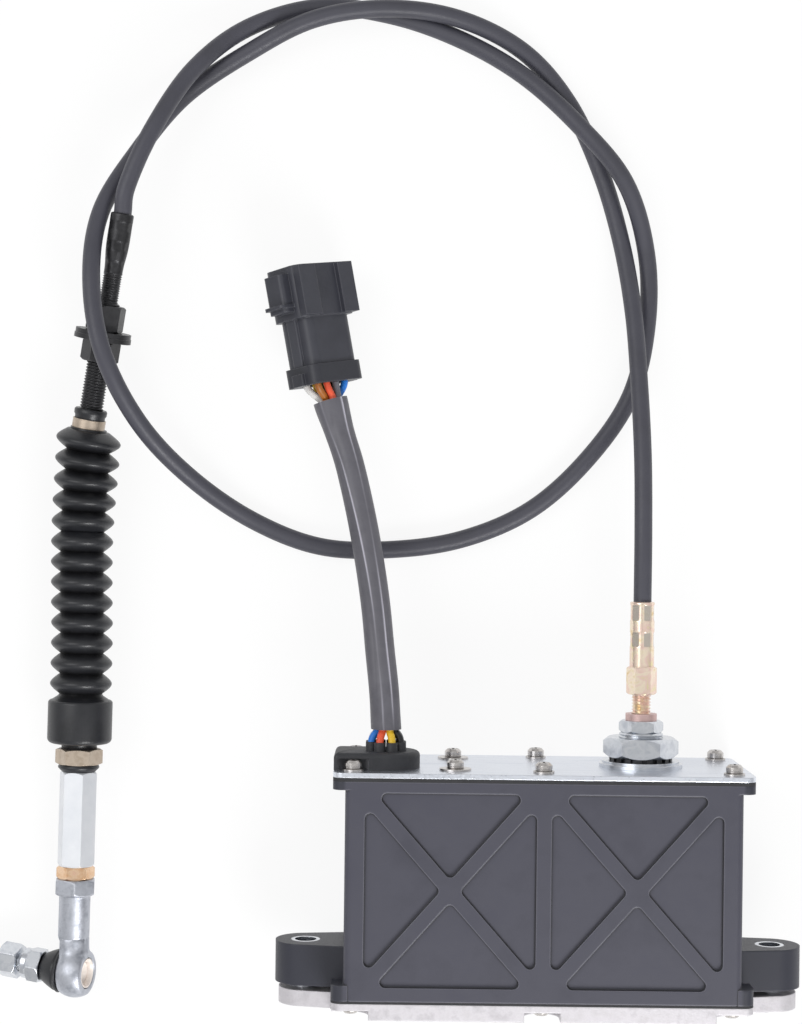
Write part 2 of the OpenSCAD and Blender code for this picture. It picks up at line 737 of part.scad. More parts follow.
module screw_stack_rings(flat_r) {
    linear_extrude(washer_t) difference() {
        circle(flat_r);
        circle(screw_r + fit_gap);
    }
    translate([0, 0, washer_t]) linear_extrude(spring_washer_t) difference() {
        circle(spring_washer_r);
        circle(screw_r + fit_gap);
    }
}
module base_screws() {
    color([0.80, 0.81, 0.80]) for (x = columns, z = rows)
        translate([x, base_under + notch_h, z]) rotate([90, 0, 0]) pan_screw(screw_l);
}

// Cable gland and cable fitting on the lid
module at_gland() { translate([gland_x, 0, gland_z]) children(); }
module gland_bush() {
    color([0.62, 0.66, 0.64]) at_gland() difference() {
        union() {
            rod_y(lid_under - gland_flange_t, gland_flange_t, gland_flange_r);
            rod_y(lid_under - cut, neck_top - lid_under + cut, gland_neck_r);
        }
        rod_y(lid_under - gland_flange_t - cut, neck_top - lid_under + gland_flange_t + 2 * cut, core_bore_r);
        rod_y(neck_top - fit_seat, fit_seat + cut, fit_thread_r + fit_gap);
    }
}
module gland_washer() {
    color([0.82, 0.83, 0.84]) at_gland() difference() {
        union() {
            rod_y(lid_top, gland_washer_t, gland_washer_r);
            rod_y(lid_top + gland_washer_t - cut, upper_washer_t + cut, upper_washer_r);
        }
        rod_y(lid_top - cut, gland_washer_t + upper_washer_t + 2 * cut, gland_neck_r + fit_gap);
    }
}
module gland_lock_washer() {
    color([0.35, 0.35, 0.36]) at_gland() rise(tooth_at, tooth_washer_t) difference() {
        union() {
            circle(0.86 * tooth_washer_r);
            for (k = [0:tooth_count - 1]) rotate(360 * k / tooth_count)
                translate([0, -0.09 * tooth_washer_r]) square([tooth_washer_r, 0.18 * tooth_washer_r]);
        }
        circle(gland_neck_r + fit_gap);
    }
}
module gland_nut() {
    color([0.78, 0.80, 0.80]) at_gland() difference() {
        hex_y(gland_nut_at, gland_nut_h, gland_nut_af, -6);
        rod_y(gland_nut_at - cut, gland_nut_h + 2 * cut, gland_neck_r + fit_gap);
    }
}
module fitting_lock_nut() {
    color([0.80, 0.80, 0.76]) at_gland() difference() {
        hex_y(lock_nut_at, lock_nut_h, lock_nut_af, -2);
        rod_y(lock_nut_at - cut, lock_nut_h + 2 * cut, fit_thread_r + fit_gap);
    }
}
module seal_ring() {
    color([0.72, 0.56, 0.50]) at_gland() ring_y(seal_at, seal_h, seal_r, fit_thread_r + fit_gap);
}
// Share of the crimp tube where each crimped band begins and ends
crimp_steps = [0, 0.3, 0.54, 0.7, 0.96, 1];
module crimp_tube() {
    for (k = [0:4]) {
        y = crimp_at + crimp_steps[k] * crimp_l;
        h = (crimp_steps[k + 1] - crimp_steps[k]) * crimp_l;
        if (k % 2 == 0) rod_y(y, h, crimp_r);
        else translate([0, y, 0]) rotate([-90, 20, 0]) cylinder(h = h, r = crimp_af / sqrt(3), $fn = 6);
    }
}
module cable_end_fitting() {
    color([0.80, 0.68, 0.42]) at_gland() difference() {
        union() {
            rod_y(neck_top - fit_seat, fit_hex_at - neck_top + fit_seat + cut, fit_thread_r);
            hex_y(fit_hex_at, fit_hex_h, fit_hex_af);
            rod_y(fit_hex_at + cut, fitting_end - fit_hex_at - 1.5 * cut, 0.47 * crimp_af);
            crimp_tube();
        }
        rod_y(neck_top - fit_seat - cut, fitting_end - neck_top + fit_seat - 2, core_bore_r);
    }
}
module cable_sheath() {
    color([0.30, 0.31, 0.33]) swept(route(cable_points, 2), sheath_r, 10, [0, 1, 0], -hub_axis);
}

// Hub and support tube at the far end
module at_hub() { translate(swivel) rotate([0, 0, -hub_turn]) rotate([hub_rise, 0, 0]) children(); }
module at_rod() { translate(swivel) rotate([0, 0, -rod_turn]) children(); }
hub_neck_at = hub_thread_l;
hub_crimp_at = hub_thread_l + hub_neck_l;
// Points on a ball's outline, from one radius below the middle to another above it
function ball_outline(r, low_r, high_r, n = 12) = let (a = -acos(low_r / r), b = acos(high_r / r))
    [for (k = [0:n]) r * [cos(a + (b - a) * k / n), sin(a + (b - a) * k / n)]];
module threaded_hub() {
    color([0.20, 0.20, 0.21]) at_hub() turned() polygon(concat(
        [[swivel_ball_r - 0.1, hub_mouth]],
        ball_outline(swivel_ball_r + fit_gap, swivel_ball_r - 0.1, rod_r + 0.3),
        [[rod_r + 0.3, hub_thread_l / 2], [0, hub_thread_l / 2], [0, hub_end], [hub_crimp_r - 0.6, hub_end],
        [hub_crimp_r, hub_end - 1], [hub_crimp_r, hub_end - 0.5 * hub_crimp_l], [0.8 * hub_crimp_r, hub_crimp_at],
        [hub_neck_r - 0.2, hub_crimp_at], [hub_neck_r, hub_crimp_at - 0.2], [hub_neck_r, hub_neck_at],
        [hub_r, hub_neck_at], [hub_r, hub_mouth]]));
}
module hub_nut(y, h, turn) {
    difference() {
        hex_y(y, h, bulkhead_nut_af, turn);
        rod_y(y - cut, h + 2 * cut, hub_r + fit_gap);
    }
}
module bulkhead_nuts() {
    color([0.17, 0.17, 0.18]) at_hub() {
        hub_nut(bulkhead_at - lower_nut_h, lower_nut_h, 8);
        hub_nut(bulkhead_at + 2 * bulkhead_washer_t, upper_nut_h, 22);
    }
}
module bulkhead_washers() {
    color([0.20, 0.20, 0.21]) at_hub() for (k = [0, 1])
        ring_y(bulkhead_at + k * bulkhead_washer_t, bulkhead_washer_t, bulkhead_washer_r - 0.3 * k, hub_r + fit_gap);
}
module boot_upper_clamp() {
    color([0.72, 0.63, 0.48]) at_hub() ring_y(-2.2, clamp_h, boot_top_r + fit_gap + 0.5, boot_top_r + fit_gap);
}
fold_pitch = folds_l / fold_count;
function fold_points(grow) = [for (k = [0:fold_count - 1]) let (y = bellows_top - k * fold_pitch)
    each [[valley_r + grow, y - 0.14 * fold_pitch], [ridge_r + grow, y - 0.42 * fold_pitch],
        [ridge_r + grow, y - 0.62 * fold_pitch], [valley_r + grow, y - 0.86 * fold_pitch]]];
module bellows_boot() {
    color([0.07, 0.07, 0.08]) difference() {
        union() {
            at_hub() rod_y(bellows_top - 2, 6.4 - bellows_top + 2, boot_top_r);
            at_rod() turned() polygon(concat([[0, bellows_top], [valley_r, bellows_top]], fold_points(0),
                [[valley_r, bellows_low], [ridge_r, bellows_low - cup_taper], [ridge_r, cup_low + 1.5],
                [ridge_r - 1.5, cup_low], [boot_neck_r, cup_low], [boot_neck_r, lower_clamp_at],
                [boot_neck_r + 0.7, lower_clamp_at], [boot_neck_r + 0.7, coupling_top + 0.3], [0, coupling_top + 0.3]]));
        }
        at_hub() rod_y(hub_mouth - 0.1, 12, hub_r + fit_gap);
        at_hub() rod_y(bellows_top - 3, hub_mouth - bellows_top + 3, hub_r + 0.3);
        at_rod() turned() polygon(concat([[0, bellows_top - boot_wall], [valley_r - boot_wall, bellows_top - boot_wall]],
            fold_points(-boot_wall), [[valley_r - boot_wall, bellows_low], [ridge_r - 2 * boot_wall, bellows_low - cup_taper],
            [ridge_r - 2 * boot_wall, cup_low + 2 * boot_wall], [0, cup_low + 2 * boot_wall]]));
        at_rod() rod_y(coupling_top, cup_low + 3 * boot_wall - coupling_top, rod_shoulder_r + fit_gap);
    }
}
module support_tube() {
    bore = rod_r + fit_gap;
    flat_r = 0.78 * swivel_ball_r;
    color([0.62, 0.63, 0.64]) at_rod() turned() polygon(concat([[bore, -tube_l], [tube_r, -tube_l]],
        ball_outline(swivel_ball_r, tube_r, flat_r), [[bore, sqrt(pow(swivel_ball_r, 2) - pow(flat_r, 2))]]));
}

// Rod, coupling and rod end
rod_shoulder_at = cup_low + 3 * boot_wall;
module push_rod() {
    color([0.72, 0.73, 0.74]) at_rod() {
        turned() polygon([[0, coupling_top - thread_seat], [rod_thread_r, coupling_top - thread_seat],
            [rod_thread_r, coupling_top], [rod_shoulder_r, coupling_top], [rod_shoulder_r, rod_shoulder_at],
            [rod_r, rod_shoulder_at], [rod_r, rod_top], [0, rod_top]]);
    }
}
module boot_lower_clamp() {
    color([0.74, 0.70, 0.60]) at_rod() difference() {
        hex_y(lower_clamp_at, lower_clamp_h, lower_clamp_af, 4, 0.06);
        rod_y(lower_clamp_at - cut, lower_clamp_h + 2 * cut, boot_neck_r + fit_gap);
    }
}
module hex_coupling() {
    color([0.80, 0.80, 0.79]) at_rod() difference() {
        hex_y(coupling_low, coupling_l, coupling_af, 8);
        rod_y(coupling_low - cut, coupling_l + 2 * cut, rod_thread_r + fit_gap);
    }
}
module coupling_nut() {
    color([0.78, 0.66, 0.40]) at_rod() difference() {
        hex_y(jam_low, jam_nut_h, jam_nut_af, 12);
        rod_y(jam_low - cut, jam_nut_h + 2 * cut, rod_thread_r + fit_gap);
    }
}
module at_eye() { at_rod() translate([0, eye_at, 0]) rotate([0, -(90 + stud_dip), 0]) children(); }
module at_stud() { at_rod() translate([0, eye_at, 0]) rotate([0, -(90 + stud_dip), -stud_turn]) children(); }
shank_low = eye_at + 0.8 * eye_r;
module rod_end() {
    color([0.76, 0.76, 0.72]) difference() {
        union() {
            at_rod() turned() polygon([[0, shank_low], [0.68 * shank_r, shank_low], [shank_r, collar_low - 0.4 * eye_drop],
                [shank_r, jam_low - cut], [rod_thread_r, jam_low - cut], [rod_thread_r, coupling_low + thread_seat],
                [0, coupling_low + thread_seat]]);
            at_rod() hex_y(collar_low, collar_h, collar_af, 20);
            at_eye() cylinder(h = eye_t, r = eye_r, center = true);
        }
        at_eye() cylinder(h = eye_t + 2 * cut, r = race_r + fit_gap, center = true);
    }
}
module ball_race() {
    color([0.74, 0.62, 0.50]) at_eye() difference() {
        cylinder(h = race_l, r = race_r, center = true);
        sphere(ball_r + fit_gap);
    }
}
module hex_bar(z, h, af) {
    corner = af / sqrt(3);
    drop = 0.12 * af;
    reach = af / 2 + 2 * (corner - af / 2);
    intersection() {
        translate([0, 0, z]) cylinder(h = h, r = corner, $fn = 6);
        rotate_extrude() polygon([[0, z], [af / 2, z], [reach, z + drop], [reach, z + h - drop], [af / 2, z + h], [0, z + h]]);
    }
}
module ball_stud() {
    color([0.80, 0.80, 0.78]) at_stud() {
        intersection() {
            sphere(ball_r);
            translate([0, 0, -0.7 * ball_r]) cylinder(h = 2 * ball_r, r = ball_r + cut);
        }
        cylinder(h = stud_hex_at + cut, r = stud_neck_r);
        hex_bar(stud_hex_at, stud_hex_h, stud_hex_af);
        translate([0, 0, stud_hex_at + cut]) cylinder(h = stud_end - stud_hex_at - cut, r = stud_thread_r);
    }
}
module stud_boot() {
    rim = eye_r - 2;
    low = eye_t / 2 + rim * sin(stud_turn) + 0.2;
    high = stud_hex_at - 0.1;
    color([0.06, 0.06, 0.06]) at_stud() rotate_extrude() polygon([[rim - 1.6, low], [rim - 0.2, low],
        [rim, low + 1.2], [stud_neck_r + 3.2, high - 1.6], [stud_neck_r + 2.6, high],
        [stud_neck_r + fit_gap, high], [stud_neck_r + fit_gap, high - 1.6], [rim - 1.6, low + 1]]);
}
module stud_washer() {
    color([0.68, 0.69, 0.70]) at_stud() translate([0, 0, stud_hex_at + stud_hex_h]) linear_extrude(stud_washer_t)
        difference() {
            circle(stud_thread_r + 2.4);
            circle(stud_thread_r + fit_gap);
        }
}
module stud_nut() {
    color([0.80, 0.80, 0.79]) at_stud() difference() {
        rotate([0, 0, 30]) hex_bar(stud_nut_at, stud_nut_h, stud_hex_af);
        translate([0, 0, stud_nut_at - cut]) cylinder(h = stud_nut_h + 2 * cut, r = stud_thread_r + fit_gap);
    }
}

// Grommet, harness and connector
function slot(k, r) = let (a = slot_turn + slot_step * k) [r * cos(a), r * sin(a)];
module wire_grommet() {
    color([0.09, 0.09, 0.10]) difference() {
        union() {
            rise(lid_top, grommet_h) union() {
                translate([grommet_x, grommet_z]) circle(grommet_r);
                translate([-flange_w / 2, grommet_z - grommet_r]) square([grommet_x + flange_w / 2, 2 * grommet_r]);
            }
            translate([grommet_x, 0, grommet_z]) {
                rod_y(lid_under - cut, lid_t + 2 * cut, grommet_neck_r);
                rod_y(lid_under - 2, 2, grommet_lip_r);
            }
            for (k = [0:7]) translate([grommet_x + slot(k, nub_ring_r)[0], 0, grommet_z + slot(k, nub_ring_r)[1]])
                rod_y(lid_top + cut, grommet_h + nub_h - cut, nub_r);
        }
        for (k = [0:7]) translate([grommet_x + slot(k, nub_ring_r)[0], 0, grommet_z + slot(k, nub_ring_r)[1]])
            rod_y(lid_under - 3, lid_t + grommet_h + nub_h + 4, wire_r + fit_gap);
        translate([-screw_x, 0, rows[1]]) rod_y(lid_top - 0.01, recess_h, washer_r + 2);
        translate([grommet_x, 0, grommet_z]) rod_y(lid_under - 3, grommet_h, nub_ring_r - nub_r - 0.6);
    }
}
harness = route(harness_points, 3);
harness_first = [0, 1, 0];
harness_last = heading(harness, len(harness) - 1);
module harness_sleeve() {
    color([0.52, 0.53, 0.55]) swept(harness, sleeve_r, 12, harness_first, harness_last);
}
function conn_point(x, y, z) = conn_at + [
    cos(conn_turn) * (x * cos(conn_roll) + z * sin(conn_roll)) - sin(conn_turn) * y,
    sin(conn_turn) * (x * cos(conn_roll) + z * sin(conn_roll)) + cos(conn_turn) * y,
    -x * sin(conn_roll) + z * cos(conn_roll)];
conn_axis = conn_point(0, 1, 0) - conn_at;
// Places of the terminals, counted round the two rows
function pin_place(k) = [(k < 4 ? 1.5 - k : k - 5.5) * pin_pitch, (k < 4 ? 1 : -1) * pin_rows / 2];
module wire(i) {
    low = slot(wire_table[i][1], nub_ring_r);
    in = slot(wire_table[i][1], bundle_r);
    k = wire_table[i][2];
    turn = slot_turn + slot_step * k - conn_roll;
    s = side_of(harness_last);
    u = cross(s, harness_last);
    last = harness_points[len(harness_points) - 1];
    out = last + bundle_r * (cos(turn) * s + sin(turn) * u);
    pin = pin_place(k);
    color(wire_table[i][0]) {
        swept(route([[grommet_x + low[0], lid_under, grommet_z + low[1]],
            [grommet_x + low[0], lid_top + grommet_h + nub_h, grommet_z + low[1]],
            [grommet_x + in[0], sleeve_start - 1, grommet_z + in[1]],
            [grommet_x + in[0], sleeve_start, grommet_z + in[1]]], 2), wire_r, 8, harness_first, harness_first);
        swept(route([out, out + harness_last, conn_point(pin[0], -0.5, pin[1]), conn_point(pin[0], cover_l, pin[1])], 2),
            wire_r, 8, harness_last, conn_axis);
    }
}
module wire_blue() { wire(0); }
module wire_orange() { wire(1); }
module wire_green() { wire(2); }
module wire_yellow() { wire(3); }
module wire_white() { wire(4); }
module wire_brown() { wire(5); }
module wire_grey() { wire(6); }
module wire_black() { wire(7); }
module at_connector() { translate(conn_at) rotate([0, 0, conn_turn]) rotate([0, conn_roll, 0]) children(); }
shroud_at = cover_l + waist_l;
conn_l = shroud_at + shroud_l;
module connector_cover() {
    color([0.13, 0.13, 0.14]) at_connector() difference() {
        union() {
            rise(0, cover_l) rounded_box(cover_w, cover_t, 4);
            for (s = [-1, 1]) rise(0, cover_l - 3) translate([s * cover_w / 2, 0]) rounded_box(3, 7, 0.8);
        }
        rise(-cut, cover_l + 2 * cut) rounded_box(4 * pin_pitch, pin_rows + 5, 3);
    }
}
module connector_body() {
    socket_w = shroud_w - 2 * shroud_wall;
    socket_t = shroud_t - 2 * shroud_wall;
    color([0.12, 0.12, 0.13]) at_connector() difference() {
        union() {
            rise(cover_l, waist_l + cut) rounded_box(waist_w, waist_t, 4);
            rise(shroud_at, shroud_l) rounded_box(shroud_w, shroud_t, 4.5);
            for (s = [-1, 1]) {
                rise(shroud_at + 3, shroud_l - 6) translate([s * (shroud_w / 2 + rail_w / 2 - 1), 0])
                    rounded_box(rail_w, rail_t, 2);
                rise(cover_l, waist_l + cut) translate([s * waist_w / 2, 0]) rounded_box(2.4, 6, 0.8);
            }
            rise(shroud_at + 0.4, shroud_l - 0.8) {
                translate([spine_w / 2 - shroud_w / 2 + 0.3, shroud_t / 2])
                    square([spine_w, 2 * spine_rise], center = true);
                translate([shroud_w / 2 - block_w / 2 - 0.3, shroud_t / 2])
                    square([block_w, 2.4 * spine_rise], center = true);
            }
            rise(shroud_at + 0.22 * shroud_l, fin_t) rounded_box(fin_w, fin_h, 2);
        }
        rise(conn_l - socket_d, socket_d + cut) rounded_box(socket_w, socket_t, 3);
        for (k = [0:7]) rise(cover_l + 2, conn_l) translate(pin_place(k))
            square([pin_w + 2 * fit_gap, pin_t + 2 * fit_gap], center = true);
    }
}
module connector_terminals() {
    color([0.78, 0.76, 0.70]) at_connector() for (k = [0:7])
        rise(cover_l + 2, conn_l - socket_d + pin_reach - cover_l - 2) translate(pin_place(k))
            square([pin_w, pin_t], center = true);
}

// Drive in the box
module at_shaft() { translate([shaft_x, 0, 0]) children(); }
module motor_can() {
    color([0.55, 0.56, 0.58]) translate([motor_end_x, motor_y, motor_z]) rotate([0, -90, 0]) rotate_extrude()
        polygon([[0, 0], [motor_r, 0], [motor_r, motor_l - 3], [motor_r - 2, motor_l], [motor_r / 2, motor_l],
            [motor_r / 2, motor_l + 3], [0, motor_l + 3]]);
}
module gearbox_case() {
    worm_r = case_t / 2 - 0.5;
    color([0.66, 0.67, 0.68]) difference() {
        union() {
            at_shaft() translate([0, 0, case_z]) cylinder(h = case_t, r = case_r);
            translate([motor_end_x, motor_y, motor_z]) rotate([0, 90, 0])
                cylinder(h = shaft_x + 0.75 * case_r - motor_end_x, r = worm_r);
            translate([motor_end_x, motor_y, motor_z]) rotate([0, 90, 0]) cylinder(h = 4, r = motor_r - 1.5);
        }
        at_shaft() translate([0, 0, case_z + 2]) cylinder(h = case_t, r = shaft_r + fit_gap);
        for (a = [90, 180, 270]) at_shaft() rotate([0, 0, a]) translate([case_r - 3.5, 0, case_top - 8])
            cylinder(h = 8 + cut, r = screw_r + fit_gap);
        translate([0, 0, case_top]) linear_extrude(case_t) square(4 * body_w, center = true);
    }
}
bracket_x0 = bracket_screw_x - 14;
bracket_x1 = bracket_screw_x + 15;
module motor_bracket() {
    color([0.70, 0.71, 0.70]) difference() {
        union() {
            rise(lid_under - bracket_t, bracket_t) translate([bracket_x0, mid_z - bracket_half])
                square([bracket_x1 - bracket_x0, 2 * bracket_half]);
            translate([0, 0, case_top]) linear_extrude(bracket_t) union() {
                polygon([[bracket_x0, lid_under], [bracket_x1, lid_under], [shaft_x, case_r], [shaft_x - case_r, 1],
                    [bracket_x0, 1]]);
                translate([shaft_x, 0]) circle(case_r);
            }
        }
        for (z = bracket_rows) translate([bracket_screw_x, 0, z])
            rod_y(lid_under - bracket_t - cut, bracket_t + 2 * cut, screw_r + fit_gap);
        at_shaft() translate([0, 0, case_top - cut]) cylinder(h = bracket_t + 2 * cut, r = shaft_r + 2);
        for (a = [90, 180, 270]) at_shaft() rotate([0, 0, a]) translate([case_r - 3.5, 0, case_top - cut])
            cylinder(h = bracket_t + 2 * cut, r = screw_r + fit_gap);
    }
}
module gearbox_screws() {
    color([0.80, 0.81, 0.80]) for (a = [90, 180, 270]) at_shaft() rotate([0, 0, a])
        translate([case_r - 3.5, 0, web_top]) pan_screw(bracket_t + 7);
}
module sensor_bracket() {
    color([0.70, 0.71, 0.70]) at_shaft() difference() {
        union() {
            for (a = [135, 225]) rotate([0, 0, a]) translate([post_ring_r, 0, web_top])
                cylinder(h = sensor_plate_z + sensor_plate_t - web_top, r = post_r);
            translate([0, 0, sensor_plate_z]) linear_extrude(sensor_plate_t) union() {
                circle(sensor_r + 1);
                for (a = [135, 225]) rotate(a) translate([0, -post_r]) square([post_ring_r, 2 * post_r]);
            }
        }
        translate([0, 0, sensor_plate_z - cut]) cylinder(h = sensor_plate_t + 2 * cut, r = shaft_r - 0.5);
    }
}
sensor_z = sensor_plate_z + sensor_plate_t;
sensor_gap = 4.5;
sensor_t = body_d - wall - sensor_gap - sensor_z;
module position_sensor() {
    color([0.14, 0.22, 0.16]) at_shaft() difference() {
        union() {
            translate([0, 0, sensor_z]) cylinder(h = sensor_t, r = sensor_r);
            translate([-sensor_r - 4, -5, sensor_z]) cube([sensor_r, 10, sensor_t / 2]);
        }
        translate([0, 0, sensor_z - cut]) cylinder(h = sensor_t - 2, r = shaft_r - 1 + fit_gap);
    }
}
module output_shaft() {
    color([0.66, 0.67, 0.68]) at_shaft() rotate_extrude() polygon([[0, case_z + 3], [shaft_r, case_z + 3],
        [shaft_r, sensor_plate_z - 0.5], [shaft_r - 1, sensor_plate_z - 0.5], [shaft_r - 1, sensor_z + sensor_t - 4],
        [0, sensor_z + sensor_t - 4]]);
}
// Involute flank of the pinion at radius r, as an angle from the tooth's centre line
base_r = pitch_r * cos(20);
function inv_angle(r) = r <= base_r ? 0 : let (a = acos(base_r / r)) (tan(a) - a * PI / 180) * 180 / PI;
half_tooth = 90 / pinion_teeth - tooth_play / 2 / pitch_r * 180 / PI;
function flank(r) = half_tooth + inv_angle(pitch_r) - inv_angle(r);
module pinion_plan() {
    root_r = pitch_r - dedendum;
    tip_r = pitch_r + addendum;
    flank_rs = [root_r - 0.6, base_r, pitch_r, (pitch_r + tip_r) / 2, tip_r];
    circle(root_r);
    for (k = [0:pinion_teeth - 1]) rotate(360 * (k + 0.5) / pinion_teeth)
        polygon(concat([for (r = flank_rs) r * [cos(flank(r)), sin(-flank(r))]],
            [for (i = [4:-1:0]) flank_rs[i] * [cos(flank(flank_rs[i])), sin(flank(flank_rs[i]))]]));
}
module drive_pinion() {
    color([0.72, 0.62, 0.36]) at_shaft() translate([0, 0, pinion_z]) linear_extrude(pinion_w) difference() {
        pinion_plan();
        circle(shaft_r + fit_gap);
    }
}
module drive_rack() {
    pitch = PI * gear_module;
    half_pitch_w = pitch / 4 - tooth_play / 2;
    slope = tan(20);
    count = floor((2 * rack_half_l - 2) / pitch / 2);
    color([0.55, 0.57, 0.60]) difference() {
        union() {
            translate([rack_root_x, -rack_half_l, rack_z])
                cube([guide_x + guide_r + 3 - rack_root_x, 2 * rack_half_l, rack_top_z - rack_z]);
            translate([guide_x - guide_r - 3, -rack_half_l, guide_zs[0] - guide_r - 2.5])
                cube([2 * guide_r + 6, 2 * rack_half_l, rack_z - guide_zs[0] + guide_r + 3]);
            translate([rack_pitch_x, 0, pinion_z + 0.5]) linear_extrude(pinion_w - 1) for (k = [-count:count])
                translate([0, k * pitch]) polygon([
                    [dedendum + 0.2, -half_pitch_w - (dedendum + 0.2) * slope],
                    [dedendum + 0.2, half_pitch_w + (dedendum + 0.2) * slope],
                    [-addendum, half_pitch_w - addendum * slope], [-addendum, -half_pitch_w + addendum * slope]]);
        }
        at_gland() rod_y(-rack_half_l - cut, 2 * rack_half_l + 2 * cut, core_bore_r);
        for (z = guide_zs) translate([guide_x, 0, z]) rod_y(-rack_half_l - cut, 2 * rack_half_l + 2 * cut, guide_r + fit_gap);
    }
}
module guide_rods() {
    color([0.75, 0.76, 0.77]) for (z = guide_zs) translate([guide_x, 0, z])
        rod_y(base_top - guide_seat, lid_under - gland_flange_t - base_top + guide_seat, guide_r);
}
module cable_core() {
    color([0.75, 0.76, 0.77]) at_gland() {
        rod_y(-rack_half_l - cut, core_reach + rack_half_l + cut, core_r);
        rod_y(-rack_half_l - core_head_l, core_head_l, core_head_r);
        rod_y(rack_half_l, core_head_l, core_head_r);
    }
}

housing();
top_gasket();
top_plate();
base_gasket();
base_plate();
top_screws();
bracket_screws();
screw_washers();
base_screws();
ear_bushes();
gland_bush();
gland_washer();
gland_lock_washer();
gland_nut();
fitting_lock_nut();
seal_ring();
cable_end_fitting();
cable_sheath();
threaded_hub();
bulkhead_nuts();
bulkhead_washers();
boot_upper_clamp();
bellows_boot();
support_tube();
push_rod();
boot_lower_clamp();
hex_coupling();
coupling_nut();
rod_end();
ball_race();
ball_stud();
stud_boot();
stud_washer();
stud_nut();
wire_grommet();
harness_sleeve();
wire_blue();
wire_orange();
wire_green();
wire_yellow();
wire_white();
wire_brown();
wire_grey();
wire_black();
connector_body();
connector_cover();
connector_terminals();
motor_can();
gearbox_case();
motor_bracket();
gearbox_screws();
sensor_bracket();
position_sensor();
output_shaft();
drive_pinion();
drive_rack();
guide_rods();
cable_core();
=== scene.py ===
import bpy
import numpy as np
from math import cos, sin, pi, radians, sqrt
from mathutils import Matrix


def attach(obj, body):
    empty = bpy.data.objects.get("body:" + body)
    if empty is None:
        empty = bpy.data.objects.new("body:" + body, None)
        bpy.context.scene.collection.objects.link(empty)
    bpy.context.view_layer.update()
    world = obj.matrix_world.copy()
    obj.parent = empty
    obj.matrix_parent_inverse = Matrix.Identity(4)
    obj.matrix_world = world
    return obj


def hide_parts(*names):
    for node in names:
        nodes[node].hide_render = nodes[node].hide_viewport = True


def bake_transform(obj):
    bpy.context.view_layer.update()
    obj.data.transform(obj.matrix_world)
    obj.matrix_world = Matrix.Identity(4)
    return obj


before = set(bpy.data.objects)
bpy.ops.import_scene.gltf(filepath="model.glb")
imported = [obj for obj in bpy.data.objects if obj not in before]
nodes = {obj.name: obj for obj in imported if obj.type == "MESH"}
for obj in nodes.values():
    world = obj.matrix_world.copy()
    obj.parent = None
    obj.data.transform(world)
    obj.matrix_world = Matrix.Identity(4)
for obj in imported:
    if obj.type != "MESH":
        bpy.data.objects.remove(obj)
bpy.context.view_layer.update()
scene = bpy.context.scene
mm = 0.001
print("frame loaded:", len(nodes), "nodes")

# the view of the photograph: straight down, turned a little
cameraSetup = dict(place=(-0.059, 0.1522, 0.908), roll=0.7, lens=73.8, sensor=36.0)
camData = bpy.data.cameras.new("viewCamera")
camData.lens, camData.sensor_width = cameraSetup["lens"], cameraSetup["sensor"]
camera = bpy.data.objects.new("viewCamera", camData)
camera.location = cameraSetup["place"]
camera.rotation_euler = (0, 0, radians(cameraSetup["roll"]))
scene.collection.objects.link(camera)
scene.camera = camera


# small helpers, all on whole arrays
def pick(settings, names):
    # several values of a piece's dictionary at once
    return [settings[name] for name in names.split()]


def unit(v):
    v = np.asarray(v, float)
    return v / np.linalg.norm(v, axis=-1, keepdims=True)


def turnZ(v, degrees):
    c, s = cos(radians(degrees)), sin(radians(degrees))
    x, y, z = np.asarray(v, float)
    return np.array([c * x - s * y, s * x + c * y, z])


def smoothStep(x):
    x = np.clip(x, 0, 1)
    return x * x * (3 - 2 * x)


def ringAngles(sides, turnDegrees=0.0):
    return np.arange(sides) * 2 * pi / sides - radians(turnDegrees)


def addMesh(name, points, faces, sharpAngle=35):
    # points and faces straight into a mesh, smooth but for edges over the angle
    mesh = bpy.data.meshes.new(name)
    mesh.from_pydata(np.asarray(points).tolist(), [], [list(f) for f in faces])
    mesh.polygons.foreach_set("use_smooth", np.ones(len(mesh.polygons), bool))
    mesh.set_sharp_from_angle(angle=radians(sharpAngle))
    mesh.validate()
    piece = bpy.data.objects.new(name, mesh)
    scene.collection.objects.link(piece)
    return piece


def mount(piece, body, node):
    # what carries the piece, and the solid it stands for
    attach(piece, body)
    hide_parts(node)


def markPoints(piece, marks):
    # how much of a pale line runs at each point, for the finish to read; the two end points have none
    layer = piece.data.attributes.new("crease", "FLOAT", "POINT")
    layer.data.foreach_set("value", np.append(marks.ravel(), [0, 0]).astype(np.float32))


def gridFaces(rows, sides, loop=False):
    # quads between the rings of a tube; a loop also joins its last ring to its first
    i, j = np.meshgrid(np.arange(rows if loop else rows - 1), np.arange(sides), indexing="ij")
    n, k = (i + 1) % rows, (j + 1) % sides
    return np.stack([i * sides + j, n * sides + j, n * sides + k, i * sides + k], -1).reshape(-1, 4)


def tubeFaces(rows, sides):
    # the quads of a tube, and a fan at each end
    a = np.arange(sides)
    b = (a + 1) % sides
    first = np.stack([np.full(sides, rows * sides), a, b], -1)
    last = np.stack([np.full(sides, rows * sides + 1), (rows - 1) * sides + b, (rows - 1) * sides + a], -1)
    return gridFaces(rows, sides).tolist() + first.tolist() + last.tolist()


def ringVectors(headings, theta):
    # a ring square to each heading: cos a * side + sin a * up
    side = unit(np.cross(headings, [0.0, 0.0, 1.0]))
    up = np.cross(side, headings)
    return np.cos(theta)[:, None] * side[..., None, :] + np.sin(theta)[:, None] * up[..., None, :]


def tubePoints(path, headings, radius, theta):
    # a ring of the given radius about each point of the path
    shell = path[:, None, :] + radius[..., None] * ringVectors(headings, theta)
    return np.concatenate([shell.reshape(-1, 3), path[:1], path[-1:]])


def headingsOf(path):
    return unit(np.gradient(path, axis=0))


